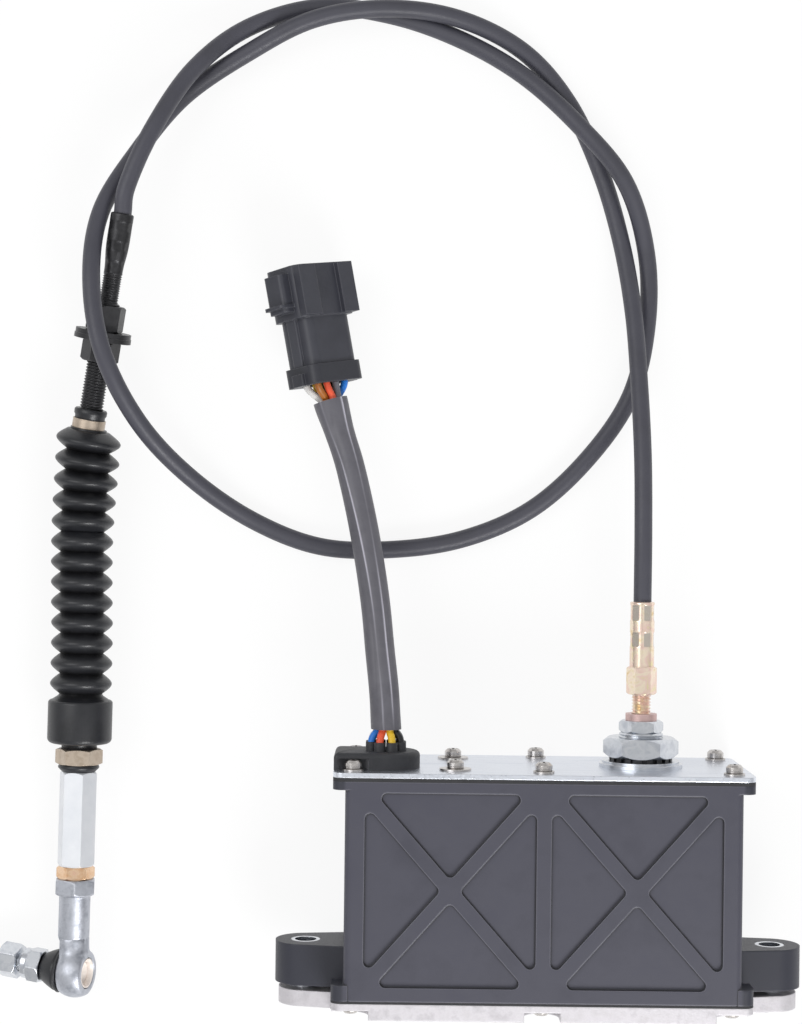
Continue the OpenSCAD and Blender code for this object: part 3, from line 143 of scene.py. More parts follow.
def route(points, steps):
    # Catmull-Rom through the points, with the ends mirrored
    p = np.asarray(points, float)
    p = np.concatenate([[2 * p[0] - p[1]], p, [2 * p[-1] - p[-2]]])
    a, b, c, d = p[:-3], p[1:-2], p[2:-1], p[3:]
    t = (np.arange(steps) / steps)[None, :, None]
    a, b, c, d = a[:, None], b[:, None], c[:, None], d[:, None]
    q = 0.5 * (2 * b + (c - a) * t + (2 * a - 5 * b + 4 * c - d) * t**2 + (3 * b - a - 3 * c + d) * t**3)
    return np.concatenate([q.reshape(-1, p.shape[1]), np.asarray(points, float)[-1:]])


def lengthOf(path):
    return float(np.linalg.norm(np.diff(path, axis=0), axis=1).sum())


# the far end's axes, as in the solids
farEnd = dict(
    swivel=np.array([-192.0, 188.0, 16.5]), hubTurn=9.5, hubRise=7.0, rodTurn=1.0, hubLength=90.0, eyeDrop=232.8,
    studDip=16.0, studTurn=5.5)
swivel = farEnd["swivel"] * mm
hubAxis = turnZ([0, cos(radians(farEnd["hubRise"])), sin(radians(farEnd["hubRise"]))], -farEnd["hubTurn"])
rodAxis = turnZ([0, 1, 0], -farEnd["rodTurn"])
eyeCentre = swivel - rodAxis * farEnd["eyeDrop"] * mm
dip, turn = radians(farEnd["studDip"]), radians(farEnd["studTurn"])
studAxis = turnZ([-cos(dip) * cos(turn), cos(dip) * sin(turn), -sin(dip)], -farEnd["rodTurn"])
hubTail = swivel + hubAxis * farEnd["hubLength"] * mm

# cable from the box fitting to the hub, by its crossings, in millimetres
cable = dict(
    radius=3.75, sides=28, steps=10, lastRun=12,
    points=[[42, 116.1, 34], [42, 146, 34], [42, 177, 29], [41, 208, 21], [39, 239, 13], [34, 270, 6], [25, 300, 4],
        [11, 329, 4], [-9, 351, 5], [-37, 364, 8], [-68, 367, 12], [-99, 362, 12], [-127, 348, 9], [-154, 329, 9],
        [-173, 304, 15], [-187, 277, 24], [-189, 247, 35], [-183, 216, 39], [-169, 188, 29], [-149, 166, 15],
        [-123, 148, 6], [-94, 137, 4], [-63, 136, 4], [-32, 141, 4], [-3, 154, 4], [21, 176, 4], [39, 203, 4],
        [46, 234, 4], [45, 265, 6], [35, 294, 12], [15, 318, 12], [-9, 340, 8], [-36, 356, 4], [-66, 366, 4],
        [-97, 369, 4], [-127, 359, 8], [-149, 339, 18], [-165, 312, 27]])
cablePath = route(np.concatenate([np.array(cable["points"], float) * mm,
                                  [hubTail + cable["lastRun"] * mm * hubAxis, hubTail]]), cable["steps"])
cableHead = headingsOf(cablePath)
cableHead[0], cableHead[-1] = [0, 1, 0], -hubAxis
cableR = np.full((len(cablePath), cable["sides"]), cable["radius"] * mm)
cableSheath = addMesh("cableSheath", tubePoints(cablePath, cableHead, cableR, ringAngles(cable["sides"])),
                      tubeFaces(len(cablePath), cable["sides"]))
mount(cableSheath, "actuator", "cable_sheath")
print("cable sheath, metres long:", round(lengthOf(cablePath), 3))

# harness sleeve from the grommet to the connector: a soft tube with two pinched creases along it
harness = dict(
    radius=6.25, sides=160, steps=20, folds=5, foldDepth=0.035, endTaper=10.0, creaseWidth=3.2, flare=0.13,
    flareTaper=5, creases=[(97, 26, 0.30), (62, -12, 0.22)],
    points=[[-64, 63.1, 46], [-65, 78, 46], [-67, 95, 42], [-69, 113, 36], [-72, 132, 30], [-76, 152, 25],
        [-81, 172, 22], [-86, 187, 20], [-89.5, 199, 19.5]])
harnessPath = route(np.array(harness["points"], float) * mm, harness["steps"])
harnessHead = headingsOf(harnessPath)
harnessHead[0] = [0, 1, 0]
harnessTheta = ringAngles(harness["sides"])
along = np.linspace(0, 1, len(harnessPath))[:, None]
# radius = plain radius, less shallow hollows that drift round the sleeve, plus narrow ridges and a flared end
foldShare = smoothStep(along * harness["endTaper"]) * smoothStep((1 - along) * harness["endTaper"])
foldWave = np.abs(np.sin(0.5 * harness["folds"] * harnessTheta + 2.1 * along + 0.8 * np.sin(7 * along)))
foldWave = 0.65 * (1 - foldWave) + 0.35 * (1 - np.abs(np.sin(1.5 * harnessTheta - 3.4 * along + 1.1)))
harnessR = harness["radius"] * (1 - harness["foldDepth"] * 2 * foldShare * foldWave)
# how strongly a painted highlight runs along each crease ridge
creaseHighlight = np.zeros_like(harnessR)
for start, drift, height in harness["creases"]:
    centre = np.radians(start + drift * along + 5 * np.sin(5 * along + start))
    gap = np.degrees(np.angle(np.exp(1j * (harnessTheta - centre))))
    ridge = np.exp(-(gap / harness["creaseWidth"]) ** 2) * (0.55 + 0.45 * np.sin(9 * along + start))
    harnessR = harnessR + height * ridge
    creaseHighlight = np.maximum(creaseHighlight, ridge * smoothStep(6 * along + 0.3))
flareShare = harness["flare"] * (1 - smoothStep((1 - along) * harness["flareTaper"]))
harnessR = harnessR * (1 + flareShare * (0.3 + np.cos(harnessTheta) ** 2))
harnessSleeve = addMesh("harnessSleeve", tubePoints(harnessPath, harnessHead, harnessR * mm, harnessTheta),
                        tubeFaces(len(harnessPath), harness["sides"]), 50)
markPoints(harnessSleeve, creaseHighlight)
mount(harnessSleeve, "actuator", "harness_sleeve")

# wires that show between grommet and sleeve, and between sleeve and connector; a place is a collar and a pin
wireSet = dict(
    radius=1.5, sides=18, steps=10, ringLow=6.4, ringIn=4.0, slotTurn=22.5, slotStep=45.0, grommet=(-64.0, 46.0),
    lidUnder=45.5, collarTop=58.1, sleeveStart=63.1, straight=1, connector=(-91.5, 206.0, 19.5), roll=43.0,
    turn=10.6, pinPitch=5.0, pinRows=7.0, coverLength=8.0, coverStart=-0.5,
    places=dict(blue=(3, 0), orange=(2, 2), green=(6, 6), yellow=(1, 5), white=(4, 4), brown=(5, 3), grey=(7, 1),
        black=(0, 7)))
sleeveEnd = np.array(harness["points"][-1], float)
sleeveHead = unit(sleeveEnd - np.array(harness["points"][-2], float))
sleeveSide = unit(np.cross(sleeveHead, [0, 0, 1.0]))
sleeveUp = np.cross(sleeveSide, sleeveHead)


def connectorPoint(x, y, z):
    # a point in the connector's own rolled and turned frame
    cr, sr = cos(radians(wireSet["roll"])), sin(radians(wireSet["roll"]))
    ct, st = cos(radians(wireSet["turn"])), sin(radians(wireSet["turn"]))
    flat = x * cr + z * sr
    return np.array(wireSet["connector"]) + np.array([ct * flat - st * y, st * flat + ct * y, -x * sr + z * cr])


def wireTube(points, first, last):
    # a round tube along the points that starts and ends square to the given headings
    path = route(np.array(points) * mm, wireSet["steps"])
    head = headingsOf(path)
    head[0], head[-1] = first, last
    radius = np.full((len(path), wireSet["sides"]), wireSet["radius"] * mm)
    return tubePoints(path, head, radius, ringAngles(wireSet["sides"])), tubeFaces(len(path), wireSet["sides"])


wirePieces = []
ringLow, ringIn, slotTurn, slotStep = pick(wireSet, "ringLow ringIn slotTurn slotStep")
foot, start = np.array([wireSet["grommet"][0], 0, wireSet["grommet"][1]]), np.array([0, 1.0, 0])
sleeveStart = wireSet["sleeveStart"]
wireRise = [(ringLow, wireSet["lidUnder"]), (ringLow, wireSet["collarTop"]),
            (ringIn, sleeveStart - wireSet["straight"]), (ringIn, sleeveStart)]
plugHead = unit(connectorPoint(0, 1, 0) - connectorPoint(0, 0, 0))
for colour, (collar, pin) in wireSet["places"].items():
    a = radians(slotTurn + slotStep * collar)
    ring = np.array([cos(a), 0, sin(a)])
    lower = [foot + r * ring + start * y for r, y in wireRise]
    b = radians(slotTurn + slotStep * pin - wireSet["roll"])
    out = sleeveEnd + ringIn * (cos(b) * sleeveSide + sin(b) * sleeveUp)
    pinX = (1.5 - pin if pin < 4 else pin - 5.5) * wireSet["pinPitch"]  # four pins to a row
    pinZ = (1 if pin < 4 else -1) * wireSet["pinRows"] / 2
    upper = [out, out + sleeveHead, connectorPoint(pinX, wireSet["coverStart"], pinZ),
             connectorPoint(pinX, wireSet["coverLength"], pinZ)]
    lowPoints, lowFaces = wireTube(lower, start, start)
    highPoints, highFaces = wireTube(upper, sleeveHead, plugHead)
    shifted = [[i + len(lowPoints) for i in face] for face in highFaces]
    wire = addMesh("wire" + colour.capitalize(), np.concatenate([lowPoints, highPoints]), lowFaces + shifted)
    mount(wire, "actuator", "wire_" + colour)
    wirePieces.append(wire)
print("harness, metres long:", round(lengthOf(harnessPath), 3))


# turned pieces: a ring of radius r(height, angle) about an axis at each height of a profile
def turnedPiece(name, origin, axis, heights, radii, theta, loop=False, sharp=35):
    h = np.asarray(heights, float) * mm
    ring = ringVectors(axis, theta)
    shell = origin + h[:, None, None] * axis + np.asarray(radii, float)[..., None] * mm * ring
    return sweptPiece(name, shell, [origin + h[0] * axis, origin + h[-1] * axis], loop, sharp)


def sweptPiece(name, shell, ends, loop, sharp=35):
    # rows of rings into a mesh; a loop joins its last row to its first, and otherwise each end gets a fan
    rows, sides = shell.shape[:2]
    if loop:
        return addMesh(name, shell.reshape(-1, 3), gridFaces(rows, sides, True).tolist(), sharp)
    return addMesh(name, np.concatenate([shell.reshape(-1, 3), np.asarray(ends)]), tubeFaces(rows, sides), sharp)


def hexRadius(theta, acrossFlats, turnDegrees):
    # distance from the axis to the side of a hexagon with a corner at minus the turn
    local = np.mod(theta + radians(turnDegrees), pi / 3) - pi / 6
    return acrossFlats / 2 / np.cos(local)


def threadCut(heights, theta, pitch, depth, low, high):
    # helical groove: a flat-crested triangle wave of height / pitch - angle / turn, faded at both ends
    phase = np.mod(heights[:, None] / pitch - theta[None, :] / (2 * pi), 1.0)
    wave = np.clip(1.25 * np.abs(2 * phase - 1) - 0.12, 0, 1)
    fade = smoothStep((heights - low) / (0.8 * pitch)) * smoothStep((high - heights) / (0.8 * pitch))
    return depth * wave * fade[:, None]


def profileRows(points, theta):
    # constant radius all round for each profile point (height, radius)
    p = np.asarray(points, float)
    return p[:, 0], np.repeat(p[:, 1:2], len(theta), 1)


def joinRows(*parts):
    return np.concatenate([p[0] for p in parts]), np.concatenate([p[1] for p in parts])


def threadRows(low, high, radius, pitch, depth, theta, perTurn=10):
    h = np.linspace(low, high, int((high - low) / pitch * perTurn) + 1)
    return h, radius - threadCut(h, theta, pitch, depth, low, high)


def hexRows(low, high, acrossFlats, turnDegrees, theta, chamfer=0.12):
    # hexagon whose corners are turned off by a cone at each end
    flat, drop = acrossFlats / 2, chamfer * acrossFlats
    ease = drop * np.linspace(0.001, 1, 7)
    h = np.concatenate([[low], low + ease, high - drop * np.linspace(1, 0.001, 7), [high]])
    reach = acrossFlats / sqrt(3) - flat
    cone = flat + 2 * reach * np.minimum((h - low) / drop, (high - h) / drop)
    return h, np.minimum(hexRadius(theta, acrossFlats, turnDegrees)[None, :], np.maximum(cone, flat)[:, None])


def roundEdge(share, depth):
    # how far a rounded end falls back, for a share that grows from 0 to 1 at the end
    return depth * (1 - np.sqrt(1 - np.clip(share, 0, 1) ** 2))


# bush of the cable gland: flange under the lid, threaded neck through it
glandBush = dict(
    x=42.0, z=34.0, flangeLow=41.5, lidUnder=45.5, top=61.8, flangeR=16.5, neckR=9.15, boreR=2.05, seatR=4.06,
    seatLow=53.1, pitch=1.5, depth=0.8, edge=0.4, chamfer=0.6)
glandAxis = np.array([0, 1.0, 0])
glandPlace = np.array([glandBush["x"], 0, glandBush["z"]]) * mm
angles = ringAngles(72)
flangeLow, lidUnder, top, flangeR, neckR = pick(glandBush, "flangeLow lidUnder top flangeR neckR")
boreR, seatR, seatLow, edge, chamfer = pick(glandBush, "boreR seatR seatLow edge chamfer")
bushRows = joinRows(
    profileRows([(flangeLow, boreR), (flangeLow, flangeR - edge), (flangeLow + edge, flangeR), (lidUnder, flangeR),
                 (lidUnder, neckR)], angles),
    threadRows(lidUnder + 0.02, top - chamfer, neckR, glandBush["pitch"], glandBush["depth"], angles),
    profileRows([(top, neckR - chamfer), (top, seatR + edge), (top - edge, seatR), (seatLow, seatR),
                 (seatLow, boreR)], angles))
glandNeck = turnedPiece("glandNeck", glandPlace, glandAxis, *bushRows, angles, loop=True)
mount(glandNeck, "actuator", "gland_bush")

# gold fitting on the cable: thread, hexagon, and a tube crimped on the sheath in two six-sided bands
fitting = dict(
    low=53.1, threadR=4.0, threadHigh=77.6, pitch=1.25, depth=0.62, hexHigh=89.1, hexFlats=11.0, hexTurn=0.0,
    tubeR=5.1, end=116.1, bandFlats=9.5, bandTurn=20.0, boreR=2.06, bands=[(0.3, 0.54), (0.7, 0.96)],
    bandEase=0.028, lipEase=0.7, rubbed=0.8)
low, end, boreR, tubeR, threadR, threadHigh, hexHigh = pick(fitting, "low end boreR tubeR threadR threadHigh hexHigh")
tubeLength, ease = end - hexHigh, fitting["bandEase"]
share = np.linspace(0, 1, 121)
pressed = sum(smoothStep((share - a) / ease) * smoothStep((b - share) / ease) for a, b in fitting["bands"])
bandR = np.minimum(hexRadius(angles, fitting["bandFlats"], fitting["bandTurn"]), tubeR - 0.02)
crimpR = tubeR + pressed[:, None] * (bandR - tubeR)[None, :]
crimpR = crimpR - roundEdge((share - 1) * tubeLength / fitting["lipEase"] + 1, fitting["lipEase"])[:, None]
fitRows = joinRows(
    profileRows([(end - 2, boreR), (low, boreR), (low, threadR - 0.6)], angles),
    threadRows(low + 0.5, threadHigh - 0.05, threadR, fitting["pitch"], fitting["depth"], angles),
    hexRows(threadHigh, hexHigh, fitting["hexFlats"], fitting["hexTurn"], angles),
    (hexHigh + 0.02 + share * (tubeLength - 0.02), crimpR))
cableFitting = turnedPiece("cableFitting", glandPlace, glandAxis, *fitRows, angles, sharp=28)
mount(cableFitting, "actuator", "cable_end_fitting")
# the press rubbed the gold off its flats
flatMark = np.zeros_like(fitRows[1])
flatMark[-len(share):] = fitting["rubbed"] * pressed[:, None] * (bandR < tubeR - 0.06)[None, :]
markPoints(cableFitting, flatMark)

# hub at the far end: ball socket, long thread, thin neck thread, crimp on the sheath
hub = dict(
    mouth=-2.5, threadR=5.0, threadHigh=52.0, pitch=1.25, depth=0.62, neckR=4.0, neckHigh=65.0, neckPitch=1.0,
    neckDepth=0.45, crimpLowR=3.9, crimpR=4.85, end=90.0, socketR=4.16, boreR=2.4, boreTop=26.0, pressTurn=4.0,
    pressDepth=0.35, lip=0.8)
mouth, threadR, threadHigh, neckR, neckHigh, socketR = pick(hub, "mouth threadR threadHigh neckR neckHigh socketR")
crimpShare, crimpLength = np.linspace(0, 1, 61), hub["end"] - neckHigh
swell = hub["crimpLowR"] + (hub["crimpR"] - hub["crimpLowR"]) * smoothStep(crimpShare * 2)
# three presses along the crimp, each of six dents
press = np.clip(np.sin(crimpShare * 3 * 2 * pi - 0.6) * 2.2, 0, 1) * smoothStep((crimpShare - 0.08) / 0.1)
press = press * smoothStep((0.93 - crimpShare) / 0.05)
dents = (0.55 + 0.45 * np.cos(6 * angles + hub["pressTurn"]))[None, :]
hubCrimp = swell[:, None] - hub["pressDepth"] * press[:, None] * dents
hubCrimp = hubCrimp - roundEdge((crimpShare - 1) * crimpLength / hub["lip"] + 1, hub["lip"])[:, None]
socketTurn = np.linspace(-0.21, 0.95, 14)
socket = np.stack([socketR * np.sin(socketTurn), socketR * np.cos(socketTurn)], 1)[::-1]
hubRows = joinRows(
    profileRows([(hub["boreTop"], hub["boreR"])] + [tuple(p) for p in socket]
                + [(mouth, socketR - 0.05), (mouth, threadR - 0.5)], angles),
    threadRows(mouth + 0.5, threadHigh - 0.5, threadR, hub["pitch"], hub["depth"], angles),
    profileRows([(threadHigh, threadR - 0.6), (threadHigh, neckR)], angles),
    threadRows(threadHigh + 0.05, neckHigh - 0.3, neckR, hub["neckPitch"], hub["neckDepth"], angles),
    (neckHigh + crimpShare * crimpLength, hubCrimp))
hubPiece = turnedPiece("threadedHub", swivel, hubAxis, *hubRows, angles, sharp=28)
mount(hubPiece, "actuator", "threaded_hub")

# ball stud: ball with a dished flat, neck, hexagon, thread with a pointed end
stud = dict(
    ballR=6.5, flat=0.7, neckR=3.6, hexLow=13.45, hexHigh=19.75, hexFlats=13.0, hexTurn=-30.0, threadR=4.0,
    pitch=1.25, depth=0.62, end=37.75, point=1.2, neckFrom=0.84, paleRows=12, dish=[(1.4, 0.3), (1.3, 1.3),
    (1.0, 2.5), (0.6, 3.6), (0.2, 4.3)])
ballR, neckR, hexLow, hexHigh, threadR, end, point = pick(stud, "ballR neckR hexLow hexHigh threadR end point")
ballTurn = np.linspace(-np.arcsin(stud["flat"]), np.arccos(neckR / ballR), 40)
ballRows = profileRows(np.stack([ballR * np.sin(ballTurn), ballR * np.cos(ballTurn)], 1), angles)
dish = np.array(stud["dish"])  # depth below the flat, radius
dishRows = profileRows(np.stack([-(ballR * stud["flat"] - dish[:, 0]), dish[:, 1]], 1), angles)
studRows = joinRows(
    dishRows, ballRows, profileRows([(ballR * stud["neckFrom"], neckR), (hexLow - 0.02, neckR)], angles),
    hexRows(hexLow, hexHigh, stud["hexFlats"], stud["hexTurn"], angles),
    threadRows(hexHigh + 0.02, end - point, threadR, stud["pitch"], stud["depth"], angles),
    profileRows([(end, threadR - point)], angles))
studPiece = turnedPiece("ballStud", eyeCentre, studAxis, *studRows, angles, sharp=28)
mount(studPiece, "stud", "ball_stud")

# forged rod end: a ball-ended blank cut by two flat faces, with a lipped bore for the race
rodEnd = dict(
    collarHigh=193.0, collarLow=199.8, collarFlats=16.0, collarTurn=36.5, shankR=6.6, shankRun=15.5, ballR=10.5,
    faceLow=-7.0, faceHigh=4.15, lobeTop=15.0, fillet=1.1, boreR=8.26, raceHalf=4.06, lipR=6.5, edge=0.45,
    sides=192, cuts=25, threadR=4.97, threadTop=176.0, toe=[(12.5, 5.4), (10.5, 3.4)])
eyeAxis = turnZ([-cos(dip), 0, -sin(dip)], -farEnd["rodTurn"])
phi = ringAngles(rodEnd["sides"])
faceLow, faceHigh, boreR, lipR, edge, raceHalf = pick(rodEnd, "faceLow faceHigh boreR lipR edge raceHalf")
offCut = np.linspace(faceLow + edge, faceHigh - edge, rodEnd["cuts"])


def eyeReach(a):
    # distance from the eye's axis to the blank at distance a along it: a ball, or the shank where that is farther
    ball = np.sqrt(rodEnd["ballR"] ** 2 - (a - (faceLow + faceHigh) / 2) ** 2)
    half = np.sqrt(max(rodEnd["shankR"] ** 2 - a**2, 0))
    up = np.cos(phi)
    shank = np.minimum(half / np.maximum(np.abs(np.sin(phi)), 1e-3), rodEnd["lobeTop"] / np.maximum(up, 1e-3))
    soft = rodEnd["fillet"]
    return soft * np.logaddexp(ball / soft, np.where(up > 0, shank, 0) / soft)


plain = np.ones(rodEnd["sides"])
eyeHeights = np.concatenate([[-raceHalf, -raceHalf, faceLow + 0.3, faceLow, faceLow], offCut,
                             [faceHigh, faceHigh, raceHalf]])
eyeRadii = np.stack([boreR * plain, lipR * plain, lipR * plain, (lipR + 0.3) * plain, eyeReach(faceLow) - edge]
                    + [eyeReach(a) for a in offCut]
                    + [eyeReach(faceHigh) - edge, (boreR + 0.1) * plain, boreR * plain])
eyeRing = np.cos(phi)[:, None] * rodAxis + np.sin(phi)[:, None] * np.cross(eyeAxis, rodAxis)
eyeShell = eyeCentre + (eyeHeights * mm)[:, None, None] * eyeAxis + (eyeRadii * mm)[..., None] * eyeRing
rodEye = sweptPiece("rodEye", eyeShell[:, ::-1], None, True, 40)
# shank down the rod: thread in the coupling, hexagon collar, round neck that runs into the eye
drop, shankR, shankRun, threadR, threadTop = farEnd["eyeDrop"], *pick(rodEnd, "shankR shankRun threadR threadTop")
collarHigh, collarLow, collarFlats, collarTurn = pick(rodEnd, "collarHigh collarLow collarFlats collarTurn")
collarAngles = ringAngles(72, collarTurn)
shankRows = joinRows(
    profileRows([(-threadTop, threadR - 0.5), (-threadTop - 0.5, threadR), (-collarHigh + 0.02, threadR)],
                collarAngles),
    tuple(part[::-1] for part in hexRows(-collarLow, -collarHigh, collarFlats, collarTurn, collarAngles)),
    profileRows([(-collarLow - 0.02, shankR + 0.7), (-collarLow - 0.5, shankR + 0.12), (-collarLow - 1.2, shankR),
                 (shankRun - drop, shankR), (shankRun - 1.2 - drop, shankR - 0.25)]
                + [(h - drop, r) for h, r in rodEnd["toe"]], collarAngles))
rodShank = turnedPiece("rodShank", swivel, rodAxis, *[part[::-1] for part in shankRows], collarAngles, sharp=30)
for piece in (rodEye, rodShank):
    mount(piece, "rod", "rod_end")

# race of the ball: a socket ring with a raised dish-shaped rim that fills the eye's opening
race = dict(half=4.0, outerR=8.2, socketR=6.56, rimLow=-6.75, rimIn=5.5, rimOut=6.15, round=0.25)
half, outerR, rimLow, rimIn, rimOut, rimRound = pick(race, "half outerR rimLow rimIn rimOut round")
raceRows = profileRows(
    [(-half, rimOut), (-half, outerR), (half, outerR)]
    + [(h, sqrt(race["socketR"] ** 2 - h**2)) for h in np.linspace(half, -half, 24)]
    + [(rimLow + rimRound, rimIn), (rimLow, rimIn + rimRound), (rimLow, rimOut)], angles)
racePiece = turnedPiece("ballRace", eyeCentre, eyeAxis, *raceRows, angles, loop=True, sharp=40)
mount(racePiece, "rod", "ball_race")

# long hexagon between push rod and rod end
coupler = dict(high=147.6, low=187.6, flats=14.0, turn=-8.4, boreR=5.06)
high, low, flats, couplerTurn, boreR = pick(coupler, "high low flats turn boreR")
couplerAngles = ringAngles(72, couplerTurn)
couplerRows = joinRows(profileRows([(-high, boreR), (-low, boreR)], couplerAngles),
                       hexRows(-low, -high, flats, couplerTurn, couplerAngles))
couplerPiece = turnedPiece("hexCoupling", swivel, rodAxis, *couplerRows, couplerAngles, loop=True, sharp=28)
mount(couplerPiece, "rod", "hex_coupling")

# rubber boot on the stud: a cone from the eye's face to the hexagon, with a bead at each end
studBoot = dict(
    rimR=9.7, rimLow=4.3, topR=5.6, top=13.35, neckR=3.66, wall=1.5, bulge=0.35, bead=0.4, beadAt=0.16,
    neckFrom=0.75, bendEnd=10.2)
bootShare = np.linspace(0, 1, 40)
bootLow, bootHigh, rimR, topR, neckR = pick(studBoot, "rimLow top rimR topR neckR")
outer = rimR + (topR - rimR) * bootShare + studBoot["bulge"] * np.sin(pi * bootShare)
outer = outer - studBoot["bead"] * np.exp(-((bootShare - studBoot["beadAt"]) / 0.05) ** 2)
outer = outer - roundEdge(1 - bootShare / 0.08, 0.6) - roundEdge(1 - (1 - bootShare) / 0.1, 0.7)
inner = np.maximum(outer - studBoot["wall"], neckR)
inner = np.where(bootShare > studBoot["neckFrom"], neckR, inner)
bootHeights = bootLow + bootShare * (bootHigh - bootLow)
bootRows = (np.concatenate([bootHeights, bootHeights[::-1]]),
            np.repeat(np.concatenate([outer, inner[::-1]])[:, None], len(angles), 1))
bootPiece = turnedPiece("studBoot", eyeCentre, studAxis, *bootRows, angles, loop=True, sharp=50)
bootBend = [eyeCentre + eyeAxis * h * mm for h in (bootLow, studBoot["bendEnd"])]
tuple(bootBend[0])
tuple(bootBend[1])
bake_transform(bootPiece)
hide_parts("stud_boot")
print("turned pieces made")

# bellows: the neck lies on the hub's axis and the folds follow the rod, with a short easing between the two
bellows = dict(
    sides=72, neckTop=-6.4, neckR=6.4, neckBore=5.07, foldsAt=2.8, folds=13, foldsLength=111.7, ridgeR=13.7,
    narrow=0.7, narrowBy=7, valleyR=9.0, wall=1.3, perFold=24, cupTaper=2.6, cupLength=18.4, cupR=13.6,
    cupRound=2.2, shoulderRound=1.4, cupWall=3.0, cupFloor=4.6, lowNeckR=7.5, clampEnd=144.4, lipR=8.2, end=147.3,
    lowBore=5.07, splitFold=5, tilt=(-1.0, 52.0), ridgeRound=0.5, upperBend=0.045, lowerBend=0.050, leanSteps=12,
    lean=[(-12, 0), (0, 0), (7, 0.1), (16, -0.2), (26, -0.65), (36, -1.1), (48, -1.35), (60, -1.2), (76, -0.7),
        (96, -0.15), (150, 0)])
leanCurve = route(np.array(bellows["lean"], float), bellows["leanSteps"])


def bellowsShell(name, profile):
    # closed loop of (distance below the swivel, radius); rings tilt from the hub's axis over to the rod's
    s, r = profile[:, 0], profile[:, 1]
    # the middle runs along the hub's axis in the neck, and below it along the rod with a sideways lean
    along = np.where((s < 0)[:, None], hubAxis, rodAxis)
    lean = np.interp(s, leanCurve[:, 0], leanCurve[:, 1])
    middle = swivel - s[:, None] * mm * along + lean[:, None] * mm * np.array([1.0, 0, 0])
    first, last = bellows["tilt"]
    share = smoothStep((s - first) / (last - first))[:, None]
    heading = unit((1 - share) * hubAxis + share * rodAxis)
    ring = ringVectors(heading, ringAngles(bellows["sides"]))
    return sweptPiece(name, middle[:, None] + (r * mm)[:, None, None] * ring, None, True, 45)


def foldProfile(first, last, radiusDrop=0.0):
    # each fold climbs straight from its valley to a rounded ridge and back
    pitch = bellows["foldsLength"] / bellows["folds"]
    p = np.linspace(first, last, (last - first) * bellows["perFold"] + 1)
    half = np.abs(np.mod(p, 1.0) - 0.5) * 2  # 0 at a ridge, 1 at a valley
    b = bellows["ridgeRound"]
    rise = 1 - (np.sqrt(half**2 + b**2) - b) / (sqrt(1 + b**2) - b)
    ridge = bellows["ridgeR"] - bellows["narrow"] * smoothStep(p / bellows["narrowBy"]) - radiusDrop
    valley = bellows["valleyR"] - radiusDrop
    return np.stack([bellows["foldsAt"] + p * pitch, valley + (ridge - valley) * rise], 1)


folds, splitAt, foldsAt, valleyR, wall, neckTop = pick(bellows, "folds splitFold foldsAt valleyR wall neckTop")
neckR, neckBore, cupR, lowNeckR, lowBore = pick(bellows, "neckR neckBore cupR lowNeckR lowBore")
clampEnd, lipR, end, cupRound, shoulder = pick(bellows, "clampEnd lipR end cupRound shoulderRound")
foldsEnd = foldsAt + bellows["foldsLength"]
cupTop = foldsEnd + bellows["cupTaper"]
cupEnd = cupTop + bellows["cupLength"]
cupFloor, cupInR = cupEnd - bellows["cupFloor"], cupR - bellows["cupWall"]
arc = np.linspace(0, pi / 2, 9)
cupEdge = np.stack([cupEnd - cupRound + cupRound * np.sin(arc), cupR - cupRound + cupRound * np.cos(arc)], 1)
cupShoulder = np.stack([cupTop + shoulder - shoulder * np.cos(arc), cupR - shoulder + shoulder * np.sin(arc)], 1)
neckOuter = [[neckTop, neckBore], [neckTop, neckR + 0.1], [neckTop + 0.6, neckR + 0.55], [-4.2, neckR + 0.5],
             [-3.4, neckR], [2.3, neckR], [2.6, neckR + 0.6]]
upperProfile = np.concatenate([neckOuter, foldProfile(0, splitAt), foldProfile(0, splitAt, wall)[::-1],
                               [[foldsAt - 0.9, valleyR - wall], [1.4, neckBore + 0.35]]])
lowerProfile = np.concatenate([
    foldProfile(splitAt, folds), [[foldsEnd + 0.9, valleyR + 0.6]], cupShoulder, cupEdge,
    [[cupEnd + 0.02, lowNeckR + 0.5], [cupEnd + 0.6, lowNeckR], [clampEnd, lowNeckR],
     [clampEnd + 0.05, lipR - 0.1], [clampEnd + 0.9, lipR + 0.5], [clampEnd + 1.5, lipR + 0.45],
     [end, lipR - 0.9], [end, lowBore], [cupFloor, lowBore], [cupFloor, cupInR], [cupTop, cupInR]],
    foldProfile(splitAt, folds, wall)[::-1]])
bellowsUpper = bellowsShell("bellowsUpper", upperProfile[::-1])
bellowsLower = bellowsShell("bellowsLower", lowerProfile[::-1])
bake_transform(bellowsUpper)
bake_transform(bellowsLower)
for piece in (bellowsUpper, bellowsLower):
    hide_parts("bellows_boot")
print("bellows made")

# grommet: a moulding with rounded upper edges, a roofed recess for the lid screw, and eight collars for the wires
grommet = dict(
    r=14.0, left=-85.0, low=47.5, roof=52.3, high=54.5, edge=2.0, corner=3.0, tip=1.5, tipCount=6, notch=6.3,
    notchCount=25, screw=(-77.0, 60.0), collarR=2.35, collars=8, rim=0.35, lipR=10.5, neckR=8.95, seatBore=8.1,
    wireR=1.56)
gr, left, corner, tip, notch, notchCount = pick(grommet, "r left corner tip notch notchCount")
(gx, gz), (sx, sz) = wireSet["grommet"], grommet["screw"]
cornerTurn = np.radians(np.linspace(0, 90, 8))


def arcPoints(cx, cz, r, first, last, count):
    a = np.radians(np.linspace(first, last, count))
    return np.stack([cx + r * np.cos(a), cz + r * np.sin(a)], 1)


